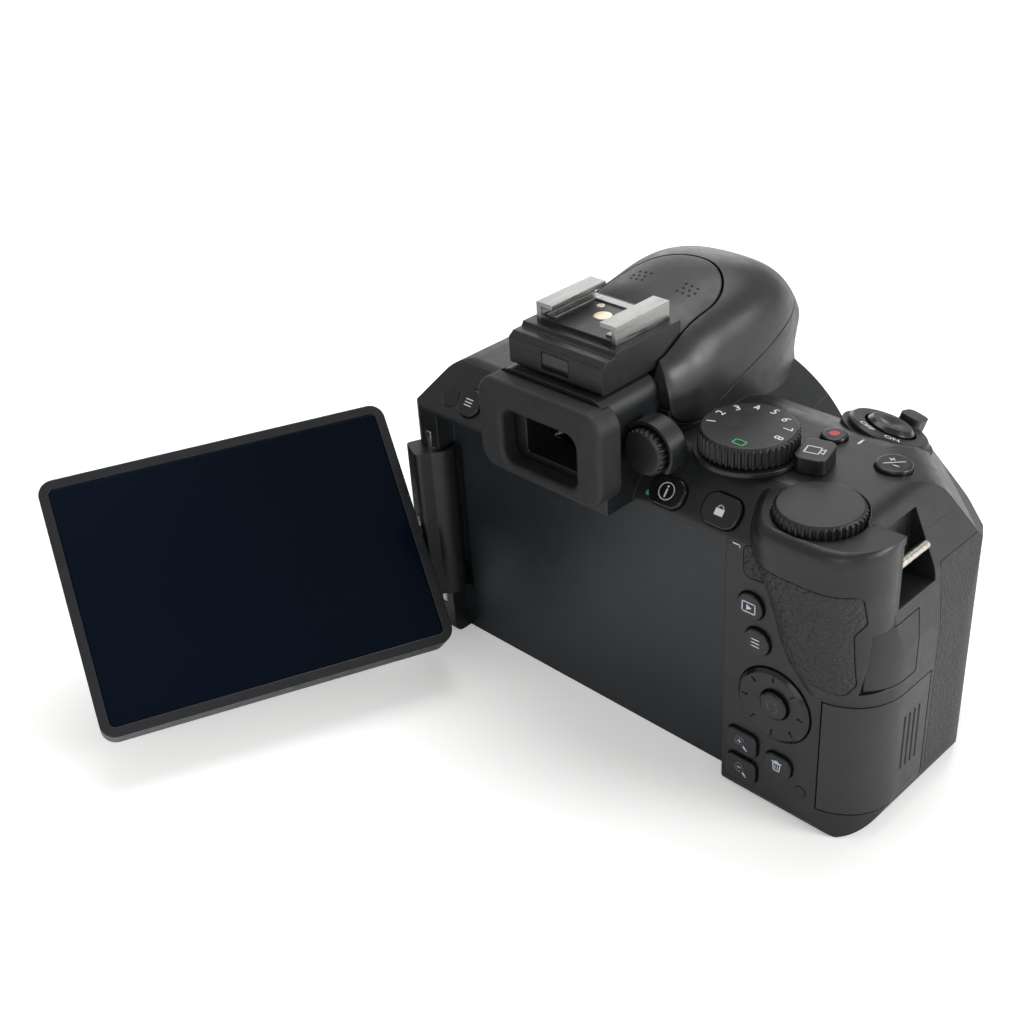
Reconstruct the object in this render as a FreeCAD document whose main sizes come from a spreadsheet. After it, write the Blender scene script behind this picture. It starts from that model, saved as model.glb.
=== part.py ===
import FreeCAD, Part
import math
import os
import re

import Sketcher
from FreeCAD import Placement, Rotation, Vector

# Single-lens reflex camera body with a side-hinged screen, in millimetres.
# +X is the grip side, +Y the lens side, +Z up. The origin is the mouth of the tripod socket.
# Names ending in _deep count forward from the rear panel, names ending in _up from the base.

SIZES = [
    # Body outline
    ("rear_y", -27), ("body_left", 53), ("body_right", 71), ("body_top", 72), ("body_deep", 41),
    ("grip_deep", 59.5), ("grip_inner", 40), ("grip_lean", 4.5), ("bevel_up", 62), ("bevel_run", 8.5),
    ("shoulder_up", 59), ("shoulder_run", 9), ("side_bevel_up", 57), ("side_bevel_run", 8),
    # Walls, gaps and fits
    ("wall", 2), ("gap", 0.3), ("fit", 0.05), ("skin", 1.2), ("seam_deep", 8.5), ("seam_up", 64),
    ("side_seam_deep", 22.3), ("side_seam_up", 54), ("base_thick", 2.6),
    # Recess and bay behind the screen
    ("recess_left", 44), ("recess_right", 37.5), ("recess_top", 60.5), ("recess_deep", 5),
    ("panel_thick", 2.2), ("inner_deep", 7.2),
    # Screen on its two axes
    ("hinge_x", -47.1), ("hinge_deep", 1.9), ("hinge_up", 32), ("hinge_radius", 4.4),
    ("hinge_tall", 39), ("hinge_pin", 2), ("hinge_pin_long", 4), ("screen_yaw", 67),
    ("screen_tilt", 45.5), ("screen_wide", 80.5), ("screen_high", 59.4), ("screen_thick", 8),
    ("screen_proud", 3.2), ("screen_start", 7), ("screen_corner", 3.5), ("bezel_edge", 2.2),
    ("bezel_thick", 1.1), ("swivel_radius", 1.7), ("swivel_grip", 7), ("housing_wall", 1.4),
    ("hinge_reach", 6.2), ("hinge_half", 3.6),
    # Lens mount and mirror box
    ("axis_up", 40), ("mount_deep", 57.5), ("throat", 22), ("mount_radius", 30),
    ("mount_thick", 1.6), ("boss_radius", 32.4), ("boss_root", 35), ("neck_deep", 38), ("chamber_wide", 35),
    ("chamber_low", 25), ("chamber_top", 53), ("box_wide", 44), ("box_low", 20), ("box_top", 56),
    ("sensor_deep", 11), ("mirror_wide", 31), ("mirror_long", 30), ("mirror_thick", 1.2),
    ("mirror_deep", 19), ("mirror_up", 51),
    # Viewfinder hump and pop-up flash
    ("hump_base", 62), ("lid_pivot_deep", 17), ("lid_pivot_up", 81.5), ("lid_arm", 8.8),
    ("island_wide", 12.3), ("island_root", 13.7), ("lid_wall", 2.1), ("hump_rear_deep", 8),
    ("flash_wide", 21), ("dome_deep", 42), ("lid_pin", 1.5), ("hump_core", 10.2),
    # Accessory shoe
    ("shoe_rear_deep", 0.3), ("shoe_long", 16), ("shoe_slot", 18.6), ("shoe_gap", 12.5),
    ("shoe_wide", 20.8), ("shoe_up", 93.9), ("shoe_lip", 1), ("shoe_seat", 0.8),
    ("shoe_clear", 2.1), ("block_rear", 6), ("block_low", 85.6), ("spring_thick", 0.3),
    ("contact_thick", 0.5),
    # Eyepiece
    ("eye_wide", 28.4), ("eye_top", 85.3), ("eye_rear", 7.6), ("eye_window_wide", 16),
    ("eye_window_high", 11), ("eye_up", 72.3), ("cup_wide", 33), ("cup_high", 20.4),
    ("cup_rear", 12), ("cup_up", 74.1), ("cup_start", 5.9),
    # Dials
    ("mode_x", 31.9), ("mode_deep", 13.9), ("mode_radius", 9.9), ("mode_high", 4.3),
    ("mode_up", 73.4), ("shaft", 3), ("command_x", 54.3), ("command_deep", 5.4),
    ("command_radius", 8.6), ("command_high", 3.4), ("command_up", 69.4), ("tower", 10.4),
    ("knurl", 0.45), ("mode_teeth", 48), ("command_teeth", 40), ("diopter_x", 18.9),
    ("diopter_up", 74), ("diopter_radius", 4.9), ("diopter_thick", 3), ("diopter_teeth", 24),
    # Shutter group
    ("switch_x", 45.5), ("switch_deep", 41.8), ("switch_up", 68.6), ("switch_radius", 8.5),
    ("switch_high", 1.5), ("shutter_radius", 4.9), ("shutter_high", 2.6), ("shutter_seat", 9.6),
    # Selector
    ("pad_x", 50), ("pad_up", 27.3), ("pad_radius", 8.4), ("ok_radius", 3.1),
    # Grip, thumb rest, side doors
    ("grip_skin_low", 5.6), ("grip_skin_top", 57.4), ("grip_skin_deep", 23.2),
    ("thumb_bulge", 5.2), ("card_x", 60.8), ("card_low", 6.6), ("card_top", 33.4),
    ("card_deep", 21.7), ("port_deep", 3.4), ("port_long", 12), ("port_low", 37.4),
    ("port_high", 14), ("door_thick", 1.6), ("lug_rear", 8.6), ("lug_long", 12.6), ("lug_low", 54.6),
    ("lug_high", 14), ("lug_inset", 7.4), ("lug_bar", 0.9), ("lug_bar_in", 3.6), ("left_port_deep", 12),
    ("left_port_long", 18), ("left_port_low", 16), ("left_port_high", 32),
    # Battery, card and tripod socket
    ("cell_x", 46.2), ("cell_wide", 14), ("cell_deep", 12.5), ("cell_long", 37), ("cell_high", 45),
    ("cell_low", 3.2), ("hatch_margin", 1.6), ("card_long", 32), ("card_high", 24),
    ("card_thick", 2.1), ("card_at", 8.6), ("socket_major", 6.35), ("socket_minor", 5.1),
    ("socket_long", 6), ("socket_flange", 8),
    # Buttons
    ("proud", 0.9), ("press", 0.6), ("flange", 0.7), ("flange_thick", 0.8),
]
# Rear, bevel and top buttons: name, facing, width, height, corner, x, and depth or height.
BUTTONS = [
    ("playback_button", "rear", 6.0, 6.0, 2.9, 43.8, 48.4),
    ("quick_menu_button", "rear", 6.0, 6.0, 2.9, 45.6, 40.8),
    ("zoom_in_button", "rear", 7.4, 5.6, 1.6, 42.9, 14.2),
    ("zoom_out_button", "rear", 7.4, 5.6, 1.6, 42.9, 7.2),
    ("delete_button", "rear", 6.4, 5.2, 2.2, 51.8, 13.0),
    ("info_button", "bevel", 8.4, 6.0, 2.6, 21.8, 64.4),
    ("lock_button", "bevel", 8.8, 6.6, 2.8, 34.6, 64.9),
    ("menu_button", "bevel", 6.4, 6.4, 3.1, -34.9, 65.3),
    ("record_button", "top", 5.2, 5.2, 2.5, 41.6, 28.6),
    ("exposure_button", "top", 7.0, 7.0, 3.4, 56.6, 26.0),
    ("release_button", "front", 8.6, 8.6, 4.2, -40.2, 30.0),
    ("function_button", "front", 6.0, 6.0, 2.9, -40.2, 50.0),
    ("flash_button", "front", 6.0, 6.0, 2.9, -35.6, 63.4),
]

doc = FreeCAD.newDocument("camera_body")
sheet = doc.addObject("Spreadsheet::Sheet", "Sizes")
for row, (alias, value) in enumerate(SIZES, 1):
    sheet.set(f"A{row}", alias)
    sheet.set(f"B{row}", str(value))
    sheet.setAlias(f"B{row}", alias)
button_row = len(SIZES) + 1
for name, facing, *values in BUTTONS:
    for suffix, value in zip(("wide", "high", "corner", "across", "along"), values):
        sheet.set(f"A{button_row}", f"{name}_{suffix}")
        sheet.set(f"B{button_row}", str(value))
        sheet.setAlias(f"B{button_row}", f"{name}_{suffix}")
        button_row += 1
doc.recompute()

REAR = Rotation(Vector(1, 0, 0), 90)
FRONT = Rotation(Vector(1, 0, 0), -90)
TOP = Rotation()
RIGHT = Rotation(Vector(0, 1, 0), 90)
SHUTTER_WAY = Vector(0.2, 0.3, 0.933)
SHUTTER = Rotation(Vector(0, 0, 1), SHUTTER_WAY)
NODES = []


# ---- Reading sizes -------------------------------------------------------------------------

def bound(expression):
    """Point each name of an expression at its cell in the sheet."""
    return re.sub(r"[A-Za-z_]\w*", lambda word: "Sizes." + word.group(0), str(expression))


def size(expression):
    """The present value of an expression of sheet names."""
    return float(sheet.evalExpression(bound(expression)))


def at(x, deep, up):
    """A point from its distance across, its depth from the rear panel and its height."""
    return Vector(size(x), size("rear_y") + size(deep), size(up))


BEVEL_TILT = math.degrees(math.atan2(size("bevel_run"), size("body_top - bevel_up")))
BEVEL = Rotation(Vector(1, 0, 0), 90 - BEVEL_TILT)
FACES = {"rear": REAR, "bevel": BEVEL, "top": TOP, "front": FRONT}
SPLAY = size("screen_yaw")
TILT = size("screen_tilt")
SCREEN_SIDE = Vector(-math.cos(math.radians(SPLAY)), -math.sin(math.radians(SPLAY)), 0)


# ---- Sketches and bodies -------------------------------------------------------------------

def keep(thing, label):
    """Name an object as a piece of the camera."""
    thing.Label = label
    NODES.append(thing)
    return thing


def place(thing, origin, rotation=TOP):
    """Put an object at an origin given as three expressions."""
    thing.Placement = Placement(Vector(), rotation)
    for axis, expression in zip("xyz", origin):
        thing.setExpression("Placement.Base." + axis, bound(expression))


def new_body(label, origin, rotation=TOP):
    body = keep(doc.addObject("PartDesign::Body", label), label)
    place(body, origin, rotation)
    return body


def new_sketch(body, role="XY_Plane"):
    sketch = body.newObject("Sketcher::SketchObject", "sketch")
    plane = next(item for item in body.Origin.OriginFeatures if item.Role == role)
    sketch.AttachmentSupport = [(plane, "")]
    sketch.MapMode = "FlatFace"
    return sketch


def measure(sketch, name, kind, references, expression):
    """Add a driving constraint and tie it to the sheet."""
    index = sketch.addConstraint(Sketcher.Constraint(kind, *references, size(expression)))
    sketch.renameConstraint(index, name)
    sketch.setExpression("Constraints." + name, bound(expression))


def draw_circle(sketch, radius, across="0", along="0", tag=""):
    centre = Vector(size(across), size(along), 0)
    circle = sketch.addGeometry(Part.Circle(centre, Vector(0, 0, 1), size(radius)))
    measure(sketch, "radius" + tag, "Radius", (circle,), radius)
    measure(sketch, "across" + tag, "DistanceX", (-1, 1, circle, 3), across)
    measure(sketch, "along" + tag, "DistanceY", (-1, 1, circle, 3), along)


def draw_rectangle(sketch, wide, high, corner, across="0", along="0", tag=""):
    """A rectangle with four equal rounded corners, its middle at (across, along)."""
    half_x, half_y, radius = size(wide) / 2, size(high) / 2, size(corner)
    middle = Vector(size(across), size(along), 0)
    sides = []
    for turn, (reach, span) in enumerate([(half_y, half_x), (half_x, half_y)] * 2):
        spin = Rotation(Vector(0, 0, 1), 90 * turn)
        start = middle + spin.multVec(Vector(radius - span, -reach, 0))
        end = middle + spin.multVec(Vector(span - radius, -reach, 0))
        sides.append(sketch.addGeometry(Part.LineSegment(start, end)))
    arcs = []
    for turn, (reach, span) in enumerate([(half_y, half_x), (half_x, half_y)] * 2):
        spin = Rotation(Vector(0, 0, 1), 90 * turn)
        centre = middle + spin.multVec(Vector(span - radius, radius - reach, 0))
        circle = Part.Circle(centre, Vector(0, 0, 1), radius)
        first = math.radians(90 * turn - 90)
        arcs.append(sketch.addGeometry(Part.ArcOfCircle(circle, first, first + math.pi / 2)))
    for turn in range(4):
        following = sides[(turn + 1) % 4]
        sketch.addConstraint(Sketcher.Constraint("Tangent", sides[turn], 2, arcs[turn], 1))
        sketch.addConstraint(Sketcher.Constraint("Tangent", arcs[turn], 2, following, 1))
        sketch.addConstraint(
            Sketcher.Constraint("Horizontal" if turn % 2 == 0 else "Vertical", sides[turn]))
    for arc in arcs[1:]:
        sketch.addConstraint(Sketcher.Constraint("Equal", arcs[0], arc))
    measure(sketch, "corner" + tag, "Radius", (arcs[0],), corner)
    measure(sketch, "wide" + tag, "DistanceX", (sides[3], 1, sides[1], 1), wide)
    measure(sketch, "high" + tag, "DistanceY", (sides[0], 1, sides[2], 1), high)
    measure(sketch, "right" + tag, "DistanceX", (-1, 1, sides[1], 1), f"{across} + ({wide}) / 2")
    measure(sketch, "top" + tag, "DistanceY", (-1, 1, sides[2], 1), f"{along} + ({high}) / 2")


def draw_outline(sketch, corners):
    """A closed outline with straight sides, each corner held by two sheet expressions."""
    points = [Vector(size(across), size(along), 0) for across, along in corners]
    lines = [sketch.addGeometry(Part.LineSegment(point, points[(n + 1) % len(points)]))
             for n, point in enumerate(points)]
    for n, (across, along) in enumerate(corners):
        sketch.addConstraint(Sketcher.Constraint("Coincident", lines[n - 1], 2, lines[n], 1))
        measure(sketch, f"across{n}", "DistanceX", (-1, 1, lines[n], 1), across)
        measure(sketch, f"along{n}", "DistanceY", (-1, 1, lines[n], 1), along)


def extrude(body, sketch, kind, length, back="0"):
    """Pad or pocket a sketch from `back` below its plane to `length` above it."""
    feature = body.newObject("PartDesign::" + kind, kind.lower())
    feature.Profile = sketch
    feature.setExpression("Length", bound(length))
    sketch.setExpression("AttachmentOffset.Base.z", bound(back))
    feature.Reversed = kind == "Pocket"
    return feature


def turn(body, corners, kind="Revolution"):
    """Revolve an outline of (radius, height) corners about the body's Z axis."""
    sketch = new_sketch(body, "XZ_Plane")
    draw_outline(sketch, corners)
    feature = body.newObject("PartDesign::" + kind, kind.lower())
    feature.Profile = sketch
    feature.ReferenceAxis = (sketch, ["V_Axis"])
    feature.Angle = 360
    return feature


def rim_notches(body, radius, teeth, high, back="0"):
    """Cut a ring of shallow round notches for the fingertip into a rim."""
    sketch = new_sketch(body)
    draw_circle(sketch, "knurl", radius, "0")
    notch = extrude(body, sketch, "Pocket", high, back)
    pattern = body.newObject("PartDesign::PolarPattern", "notches")
    pattern.Originals = [notch]
    pattern.Axis = (sketch, ["N_Axis"])
    pattern.Angle = 360
    pattern.setExpression("Occurrences", bound(teeth))
    body.Tip = pattern


def block(name, left, right, rear, front, low, high):
    """A box between pairs of expressions; rear and front are depths."""
    thing = doc.addObject("Part::Box", name)
    place(thing, (left, f"rear_y + {rear}", low))
    thing.setExpression("Length", bound(f"({right}) - ({left})"))
    thing.setExpression("Width", bound(f"({front}) - ({rear})"))
    thing.setExpression("Height", bound(f"({high}) - ({low})"))
    return thing


def rod(name, radius, length, origin, rotation=TOP):
    thing = doc.addObject("Part::Cylinder", name)
    thing.setExpression("Radius", bound(radius))
    thing.setExpression("Height", bound(length))
    place(thing, origin, rotation)
    return thing


def join(name, things):
    thing = doc.addObject("Part::MultiFuse", name)
    thing.Shapes = things
    return thing


def cut(name, base, tool):
    thing = doc.addObject("Part::Cut", name)
    thing.Base = base
    thing.Tool = tool
    return thing


def form(label, shape):
    """A moulded piece whose shape is worked out from the sheet."""
    thing = keep(doc.addObject("Part::Feature", label), label)
    thing.Shape = shape
    return thing


# ---- Shapes for the mouldings --------------------------------------------------------------

def rounded_face(corners, spot):
    """A face with straight sides and tangent arcs; `spot` puts (a, b) into space."""
    points = [Vector(a, b, 0) for a, b, _ in corners]
    edges = []
    ends = []
    for n, (_, _, radius) in enumerate(corners):
        here = points[n]
        before = (points[n - 1] - here).normalize()
        after = (points[(n + 1) % len(points)] - here).normalize()
        half = math.acos(max(-1, min(1, before.dot(after)))) / 2
        run = radius / math.tan(half)
        middle = here + (before + after).normalize() * (radius / math.sin(half) - radius)
        ends.append((here + before * run, middle, here + after * run))
    for n, (start, middle, end) in enumerate(ends):
        edges.append(Part.Arc(*(spot(p.x, p.y) for p in (start, middle, end))).toShape())
        following = ends[(n + 1) % len(ends)][0]
        if (following - end).Length > 1e-6:
            edges.append(Part.LineSegment(spot(end.x, end.y),
                                          spot(following.x, following.y)).toShape())
    return Part.Face(Part.Wire(Part.sortEdges(edges)[0]))


def in_plan(up=0):
    return lambda x, deep: Vector(x, size("rear_y") + deep, up)


def in_front(deep=0):
    return lambda x, up: Vector(x, size("rear_y") + deep, up)


def in_side(x=0):
    return lambda deep, up: Vector(x, size("rear_y") + deep, up)


def slab(left, right, rear, front, low, high):
    """A box from numbers: across, depth and height."""
    corner = Vector(left, size("rear_y") + rear, low)
    return Part.makeBox(right - left, front - rear, high - low, corner)


def round_bar(radius, start, end):
    return Part.makeCylinder(radius, (end - start).Length, start, end - start)


def button_prism(name, facing, margin, top, bottom):
    """The rounded prism of a button grown by a margin, from bottom to top above its face."""
    wide = size(name + "_wide") + 2 * margin
    high = size(name + "_high") + 2 * margin
    corner = size(name + "_corner") + margin
    corners = [(x * wide / 2, y * high / 2, corner) for x, y in ((-1, -1), (1, -1), (1, 1), (-1, 1))]
    prism = rounded_face(corners, lambda a, b: Vector(a, b, bottom)).extrude(
        Vector(0, 0, top - bottom))
    prism.Placement = Placement(Vector(*(size(part) for part in button_spot(name, facing))),
                                FACES[facing])
    return prism


def button_spot(name, facing):
    """Where a button's face meets the skin of the body, as expressions."""
    across, along = name + "_across", name + "_along"
    if facing == "rear":
        return (across, "rear_y", along)
    if facing == "bevel":
        slope = "bevel_run / (body_top - bevel_up)"
        return (across, f"rear_y + ({along} - bevel_up) * {slope}", along)
    if facing == "top":
        return (across, f"rear_y + {along}", "body_top")
    return (across, "rear_y + body_deep", along)


def body_prisms(inset):
    """The body's three outlines, moved in by a wall, as one solid."""
    left, right = -size("body_left"), size("body_right")
    top, deep = size("body_top"), size("grip_deep")
    front, inner = size("body_deep"), size("grip_inner")
    shoulder = left + size("shoulder_run")
    plan = [(left, 0, 4.5), (left, front, 9), (inner, front, 4), (inner + size("grip_lean"), deep, 8.5),
            (right - 11.5, deep, 9), (right, 36.4, 16), (right, 0, 12)]
    head_on = [(left, 0, 3), (left, size("shoulder_up"), 8), (shoulder, top, 7),
               (right - size("side_bevel_run"), top, 4), (right - 1.2, size("side_bevel_up"), 8),
               (right, 45, 12), (right, 0, 8)]
    side_on = [(0, 0, 2.5), (0, size("bevel_up"), 3), (size("bevel_run"), top, 4), (33, top, 10),
               (52, 64.5, 12), (deep, 50, 12), (deep, 0, 4)]
    slant = [(-80, -20, 1), (-80, top, 1), (65, top, 14), (84, 45.4, 20), (88, -20, 1)]
    diagonal = Vector(math.sqrt(0.5), math.sqrt(0.5), 0)
    on_slant = lambda run, up: diagonal * run + at("100", "-100", "0") + Vector(0, 0, up)
    solids = []
    for corners, spot, sweep in (
            (plan, in_plan(-5), Vector(0, 0, top + 20)),
            (head_on, in_front(-5), Vector(0, deep + 20, 0)),
            (side_on, in_side(left - 5), Vector(right - left + 20, 0, 0)),
            (slant, on_slant, Vector(-220, 220, 0))):
        face = rounded_face(corners, spot)
        if inset:
            face = face.makeOffset2D(-inset, 2)
        solids.append(face.extrude(sweep))
    return solids[0].common(solids[1]).common(solids[2]).common(solids[3])


def hump_loft(inset):
    """The viewfinder hump as a loft of arched sections, moved in by a wall."""
    sections = [(size("hump_rear_deep"), 17.0, -2.9), (17, 17.8, -1.3), (27, 18.4, 0.9),
                (37, 18.6, 2.3), (45, 17.8, 1.7), (51, 15.8, -0.7), (56, 13.4, -3.7),
                (size("grip_deep") - 0.8, 11.4, -6.5)]
    wires = []
    for deep, half, rise in sections:
        half -= inset
        top = size("shoe_up") + rise - inset
        low = size("hump_base")
        spine = [(half + 4, low), (half - 0.6, 70), (half - 0.5, 75), (half, 81), (half * 0.86, top - 4.6),
                 (half * 0.5, top - 0.9), (0, top)]
        points = [in_front(deep)(x, up) for x, up in spine]
        points += [in_front(deep)(-x, up) for x, up in reversed(spine[:-1])]
        arch = Part.BSplineCurve()
        arch.interpolate(points)
        floor = Part.LineSegment(points[-1], points[0])
        wires.append(Part.Wire([arch.toShape(), floor.toShape()]))
    return Part.makeLoft(wires, True, False)


def outer_form():
    """The closed outer skin of the camera before it is split into covers."""
    boss = Part.makeCone(size("boss_root"), size("boss_radius"), size("mount_deep - 1 - 38"),
                         at("0", "38", "axis_up"), Vector(0, 1, 0))
    boss = boss.common(slab(-50, 50, 0, 70, 1.5, 90))
    seat = Part.makeCylinder(size("shutter_seat"), 8, shutter_spot(-8), SHUTTER_WAY)
    stub = Part.makeCylinder(size("diopter_radius") + 1.2, 4.5, at("diopter_x", "-0.8", "diopter_up"),
                             Vector(0, 1, 0))
    return body_prisms(0).fuse([boss, hump_loft(0), eye_housing(0), thumb_rest(), seat, stub])


def eye_housing(inset):
    half = size("eye_wide") / 2 - inset
    top = size("eye_top") - inset
    corners = [(-half, 58, 1), (half, 58, 1), (half, top, 4), (-half, top, 4)]
    face = rounded_face(corners, in_front(-size("eye_rear") + inset))
    return face.extrude(Vector(0, size("eye_rear") + 12, 0))


def pivot_bar(radius, left, right):
    """A bar along the flash lid's hinge line."""
    start = at("0", "lid_pivot_deep", "lid_pivot_up") + Vector(left, 0, 0)
    return round_bar(radius, start, start + Vector(right - left, 0, 0))


def lid_zone(margin):
    """Everything above the lid's lower seam, with the round ends of its arms."""
    pivot_deep, pivot_up = size("lid_pivot_deep"), size("lid_pivot_up")
    arm = size("lid_arm") + margin
    corners = [(pivot_deep, pivot_up - arm, 0.5), (33, 79.3 - margin, 20), (44, 83.4 - margin, 20),
               (70, 87 - margin, 1), (70, 110, 1), (pivot_deep, 110, 1)]
    above = rounded_face(corners, in_side(-30)).extrude(Vector(60, 0, 0))
    return above.fuse(pivot_bar(arm, -30, 30))


def island_zone(margin):
    """The round-nosed island ahead of the shoe: it clears the lid at every angle."""
    wide, root = size("island_wide") + margin, size("island_root")
    across = lambda x, radius: at(x, "lid_pivot_deep", "lid_pivot_up") + Vector(0, 0, radius)
    edges = [Part.Arc(across(-wide, root), across(0, root + wide), across(wide, root)).toShape(),
             Part.LineSegment(across(wide, root), across(wide, 0)).toShape(),
             Part.LineSegment(across(wide, 0), across(-wide, 0)).toShape(),
             Part.LineSegment(across(-wide, 0), across(-wide, root)).toShape()]
    profile = Part.Face(Part.Wire(edges))
    nose = profile.revolve(at("0", "lid_pivot_deep", "lid_pivot_up"), Vector(1, 0, 0), 360)
    rear = slab(-wide, wide, -20, size("lid_pivot_deep"), 60, 110)
    return nose.fuse(rear)


def hump_inside():
    """The room under the hump for the viewfinder prism."""
    core = size("hump_core")
    narrow = slab(-core, core, size("hump_rear_deep") + 3, 27, 55, 83)
    wide = slab(-14, 14, 26.9, size("dome_deep") - 2.5, 55, 110)
    return hump_loft(size("lid_wall") + 2.6).common(narrow.fuse(wide)).fuse(
        slab(-core, core, size("hump_rear_deep") + 2, 27, 55, 80))


def bay_box(margin):
    """The bay at the left rear edge in which the hinge block turns."""
    half = size("hinge_tall") / 2 + size("gap") + margin
    front = size("hinge_deep + hinge_radius") + 0.6 + margin
    right = size("hinge_x + hinge_radius") + 0.8 + margin
    return slab(-70, right, -10, front, size("hinge_up") - half, size("hinge_up") + half)


def lug_pocket(margin, mirrored):
    """The pocket behind a strap bar, on the grip side or mirrored to the screen side."""
    edge = -size("body_left") if mirrored else size("body_right")
    inner = edge + (1 if mirrored else -1) * (size("lug_inset") + margin)
    outer = edge - 10 if mirrored else edge + 10
    shift = 6 if mirrored else 0
    return slab(min(inner, outer), max(inner, outer), size("lug_rear") + shift - margin,
                size("lug_rear + lug_long") + shift + margin - 4 * mirrored,
                size("lug_low") - 7 * mirrored - margin,
                size("lug_low + lug_high") - 7 * mirrored - 3 * mirrored + margin)


def cell_room(margin):
    """The battery's chamber in the grip."""
    left = size("cell_x") - size("gap") - margin
    right = size("cell_x + cell_wide") + size("gap") + margin
    return slab(left, right, size("cell_deep - gap") - margin,
                size("cell_deep + cell_long + gap") + margin, -5,
                size("cell_low + cell_high + gap") + margin)


def hatch_zone(margin):
    """The seat of the battery door in the base."""
    rim = size("hatch_margin") + margin
    return slab(size("cell_x") - rim, size("cell_x + cell_wide") + rim, size("cell_deep") - rim,
                size("cell_deep + cell_long") + rim, -5, size("base_thick - gap") + margin)


def card_room(margin):
    """The slot that the memory card slides into from the side."""
    right = size("body_right")
    left = right - 3.5 - size("card_long") - margin
    low = (size("card_low") + size("card_top") - size("card_high")) / 2
    return slab(left, right + 5, size("card_at - gap") - margin,
                size("card_at + card_thick + gap") + margin, low - size("gap") - margin,
                low + size("card_high + gap") + margin)


def card_door_zone(margin):
    """The corner of the body that the card door covers."""
    return slab(size("card_x") - margin, 90, -10, size("card_deep") + margin,
                size("card_low") - margin, size("card_top") + margin)


def door_skin(zone, thick):
    """The outermost layer of the body within a zone."""
    return body_prisms(0).common(zone).cut(body_prisms(thick))


def port_zone(margin):
    return slab(size("body_right") - 6, 90, size("port_deep") - margin,
                size("port_deep + port_long") + margin, size("port_low") - margin,
                size("port_low + port_high") + margin)


def left_port_zone(margin):
    return slab(-90, -size("body_left") + 6, size("left_port_deep") - margin,
                size("left_port_deep + left_port_long") + margin, size("left_port_low") - margin,
                size("left_port_low + left_port_high") + margin)


def shutter_spot(rise):
    """A point on the shutter button's tilted axis, from the plane of its seat."""
    return at("switch_x", "switch_deep", "switch_up") + SHUTTER_WAY * rise


def thumb_rest():
    """The swelling of the rear cover that the thumb rests against, up to the rear dial."""
    full = size("thumb_bulge")
    round_x, round_deep = size("body_right") - 12, 12
    wires = []
    for up, left, share in THUMB:
        bulge = full * share
        start = 0.6 + max(0, up - size("bevel_up")) * size("bevel_run / (body_top - bevel_up)")
        reach = 62 - left
        points = [(left, start), (left + 0.12 * reach, start * 0.5 - 0.35 * bulge),
                  (left + 0.34 * reach, -0.85 * bulge), (left + 0.7 * reach, -bulge)]
        for angle, part in ((22, 0.93), (44, 0.55), (68, -0.02)):
            turned, radius = math.radians(angle), 12 + part * bulge
            points.append((round_x + radius * math.sin(turned),
                           round_deep - radius * math.cos(turned)))
        spots = [in_plan(up)(x, deep) for x, deep in points]
        outline = Part.BSplineCurve()
        outline.interpolate(spots)
        inner = [spots[-1], in_plan(up)(points[-1][0], 9), in_plan(up)(left, 9), spots[0]]
        sides = [Part.LineSegment(a, b).toShape() for a, b in zip(inner, inner[1:])]
        wires.append(Part.Wire([outline.toShape()] + sides))
    rest = Part.makeLoft(wires, True, False)
    gap = size("gap")
    return rest.cut(slab(62, 90, size("port_deep") - 4 * gap, 30, size("port_low") - gap,
                         size("port_low + port_high") + gap))


def thumb_panel(margin, thick):
    """The leather on the thumb rest: the outermost layer within its outline."""
    corners = [(41.6, 61.6, 1.5), (41.8, 54.4, 1.5), (46.9, 54.9, 3), (50.2, 52.6, 3), (51.6, 45.9, 9),
               (53, 38.8, 2), (59.1, 37.8, 4), (65, 36.8, 2), (66.9, 40.1, 2), (66.9, 52.6, 2),
               (68.4, 55, 2), (68.2, 61.6, 1.5)]
    face = rounded_face(corners, in_front(-12))
    if margin:
        face = face.makeOffset2D(margin, 2)
    outer = body_prisms(0).fuse(thumb_rest()).common(slab(36, 90, -12, 7, 30, 66))
    moved = outer.translated(Vector(0, thick, 0))
    behind = slab(36, 90, size("port_deep") - 4 * size("gap"), 12, 30, 66)
    return outer.common(face.extrude(Vector(0, 19, 0))).cut(moved.fuse(behind))


def grip_skin_zone(margin):
    return slab(size("grip_inner") + 2 - margin, 90, size("grip_skin_deep") - margin, 90,
                size("grip_skin_low") - margin, size("grip_skin_top") + margin)


def inner_room():
    """The hollow inside the covers."""
    room = body_prisms(size("wall")).cut(
        slab(-80, size("recess_right + wall"), -10, size("inner_deep"), -10, 62))
    solid_parts = [bay_box(size("wall")), lug_pocket(size("wall"), False),
                   lug_pocket(size("wall"), True),
                   Part.makeCylinder(size("pad_radius") + 2, 4.4, at("pad_x", "0", "pad_up"),
                                     Vector(0, 1, 0)),
                   Part.makeCylinder(size("tower"), 20, at("command_x", "command_deep", "63")),
                   Part.makeCylinder(size("shutter_seat") + 0.4, 12, shutter_spot(-2.2), SHUTTER_WAY),
                   slab(-80, 90, -10, 70, -5, size("base_thick"))]
    solid_parts += [zone(2).cut(body_prisms(4.2)) for zone in
                    (port_zone, left_port_zone, card_door_zone)]
    return room.cut(Part.makeCompound(solid_parts)).fuse([hump_inside(), grip_room()])


def grip_room():
    """The part of the battery chamber that reaches below the inside of the covers."""
    return cell_room(0)


def button_holes(facings):
    """Holes for every button on the given faces, with room behind for the flanges."""
    depth = size("wall") + 6
    return [button_prism(name, facing, size("gap") / 2, 6, -depth)
            for name, facing, *_ in BUTTONS if facing in facings]


def flange_rooms(facings):
    back = size("wall") + size("gap")
    return [button_prism(name, facing, size("flange + gap"), -back + size("gap"), -back - 4)
            for name, facing, *_ in BUTTONS if facing in facings]


def disc_at(x, deep, up, radius, length, way=Vector(0, 0, 1)):
    return Part.makeCylinder(radius, length, at(x, deep, up), way)


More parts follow.
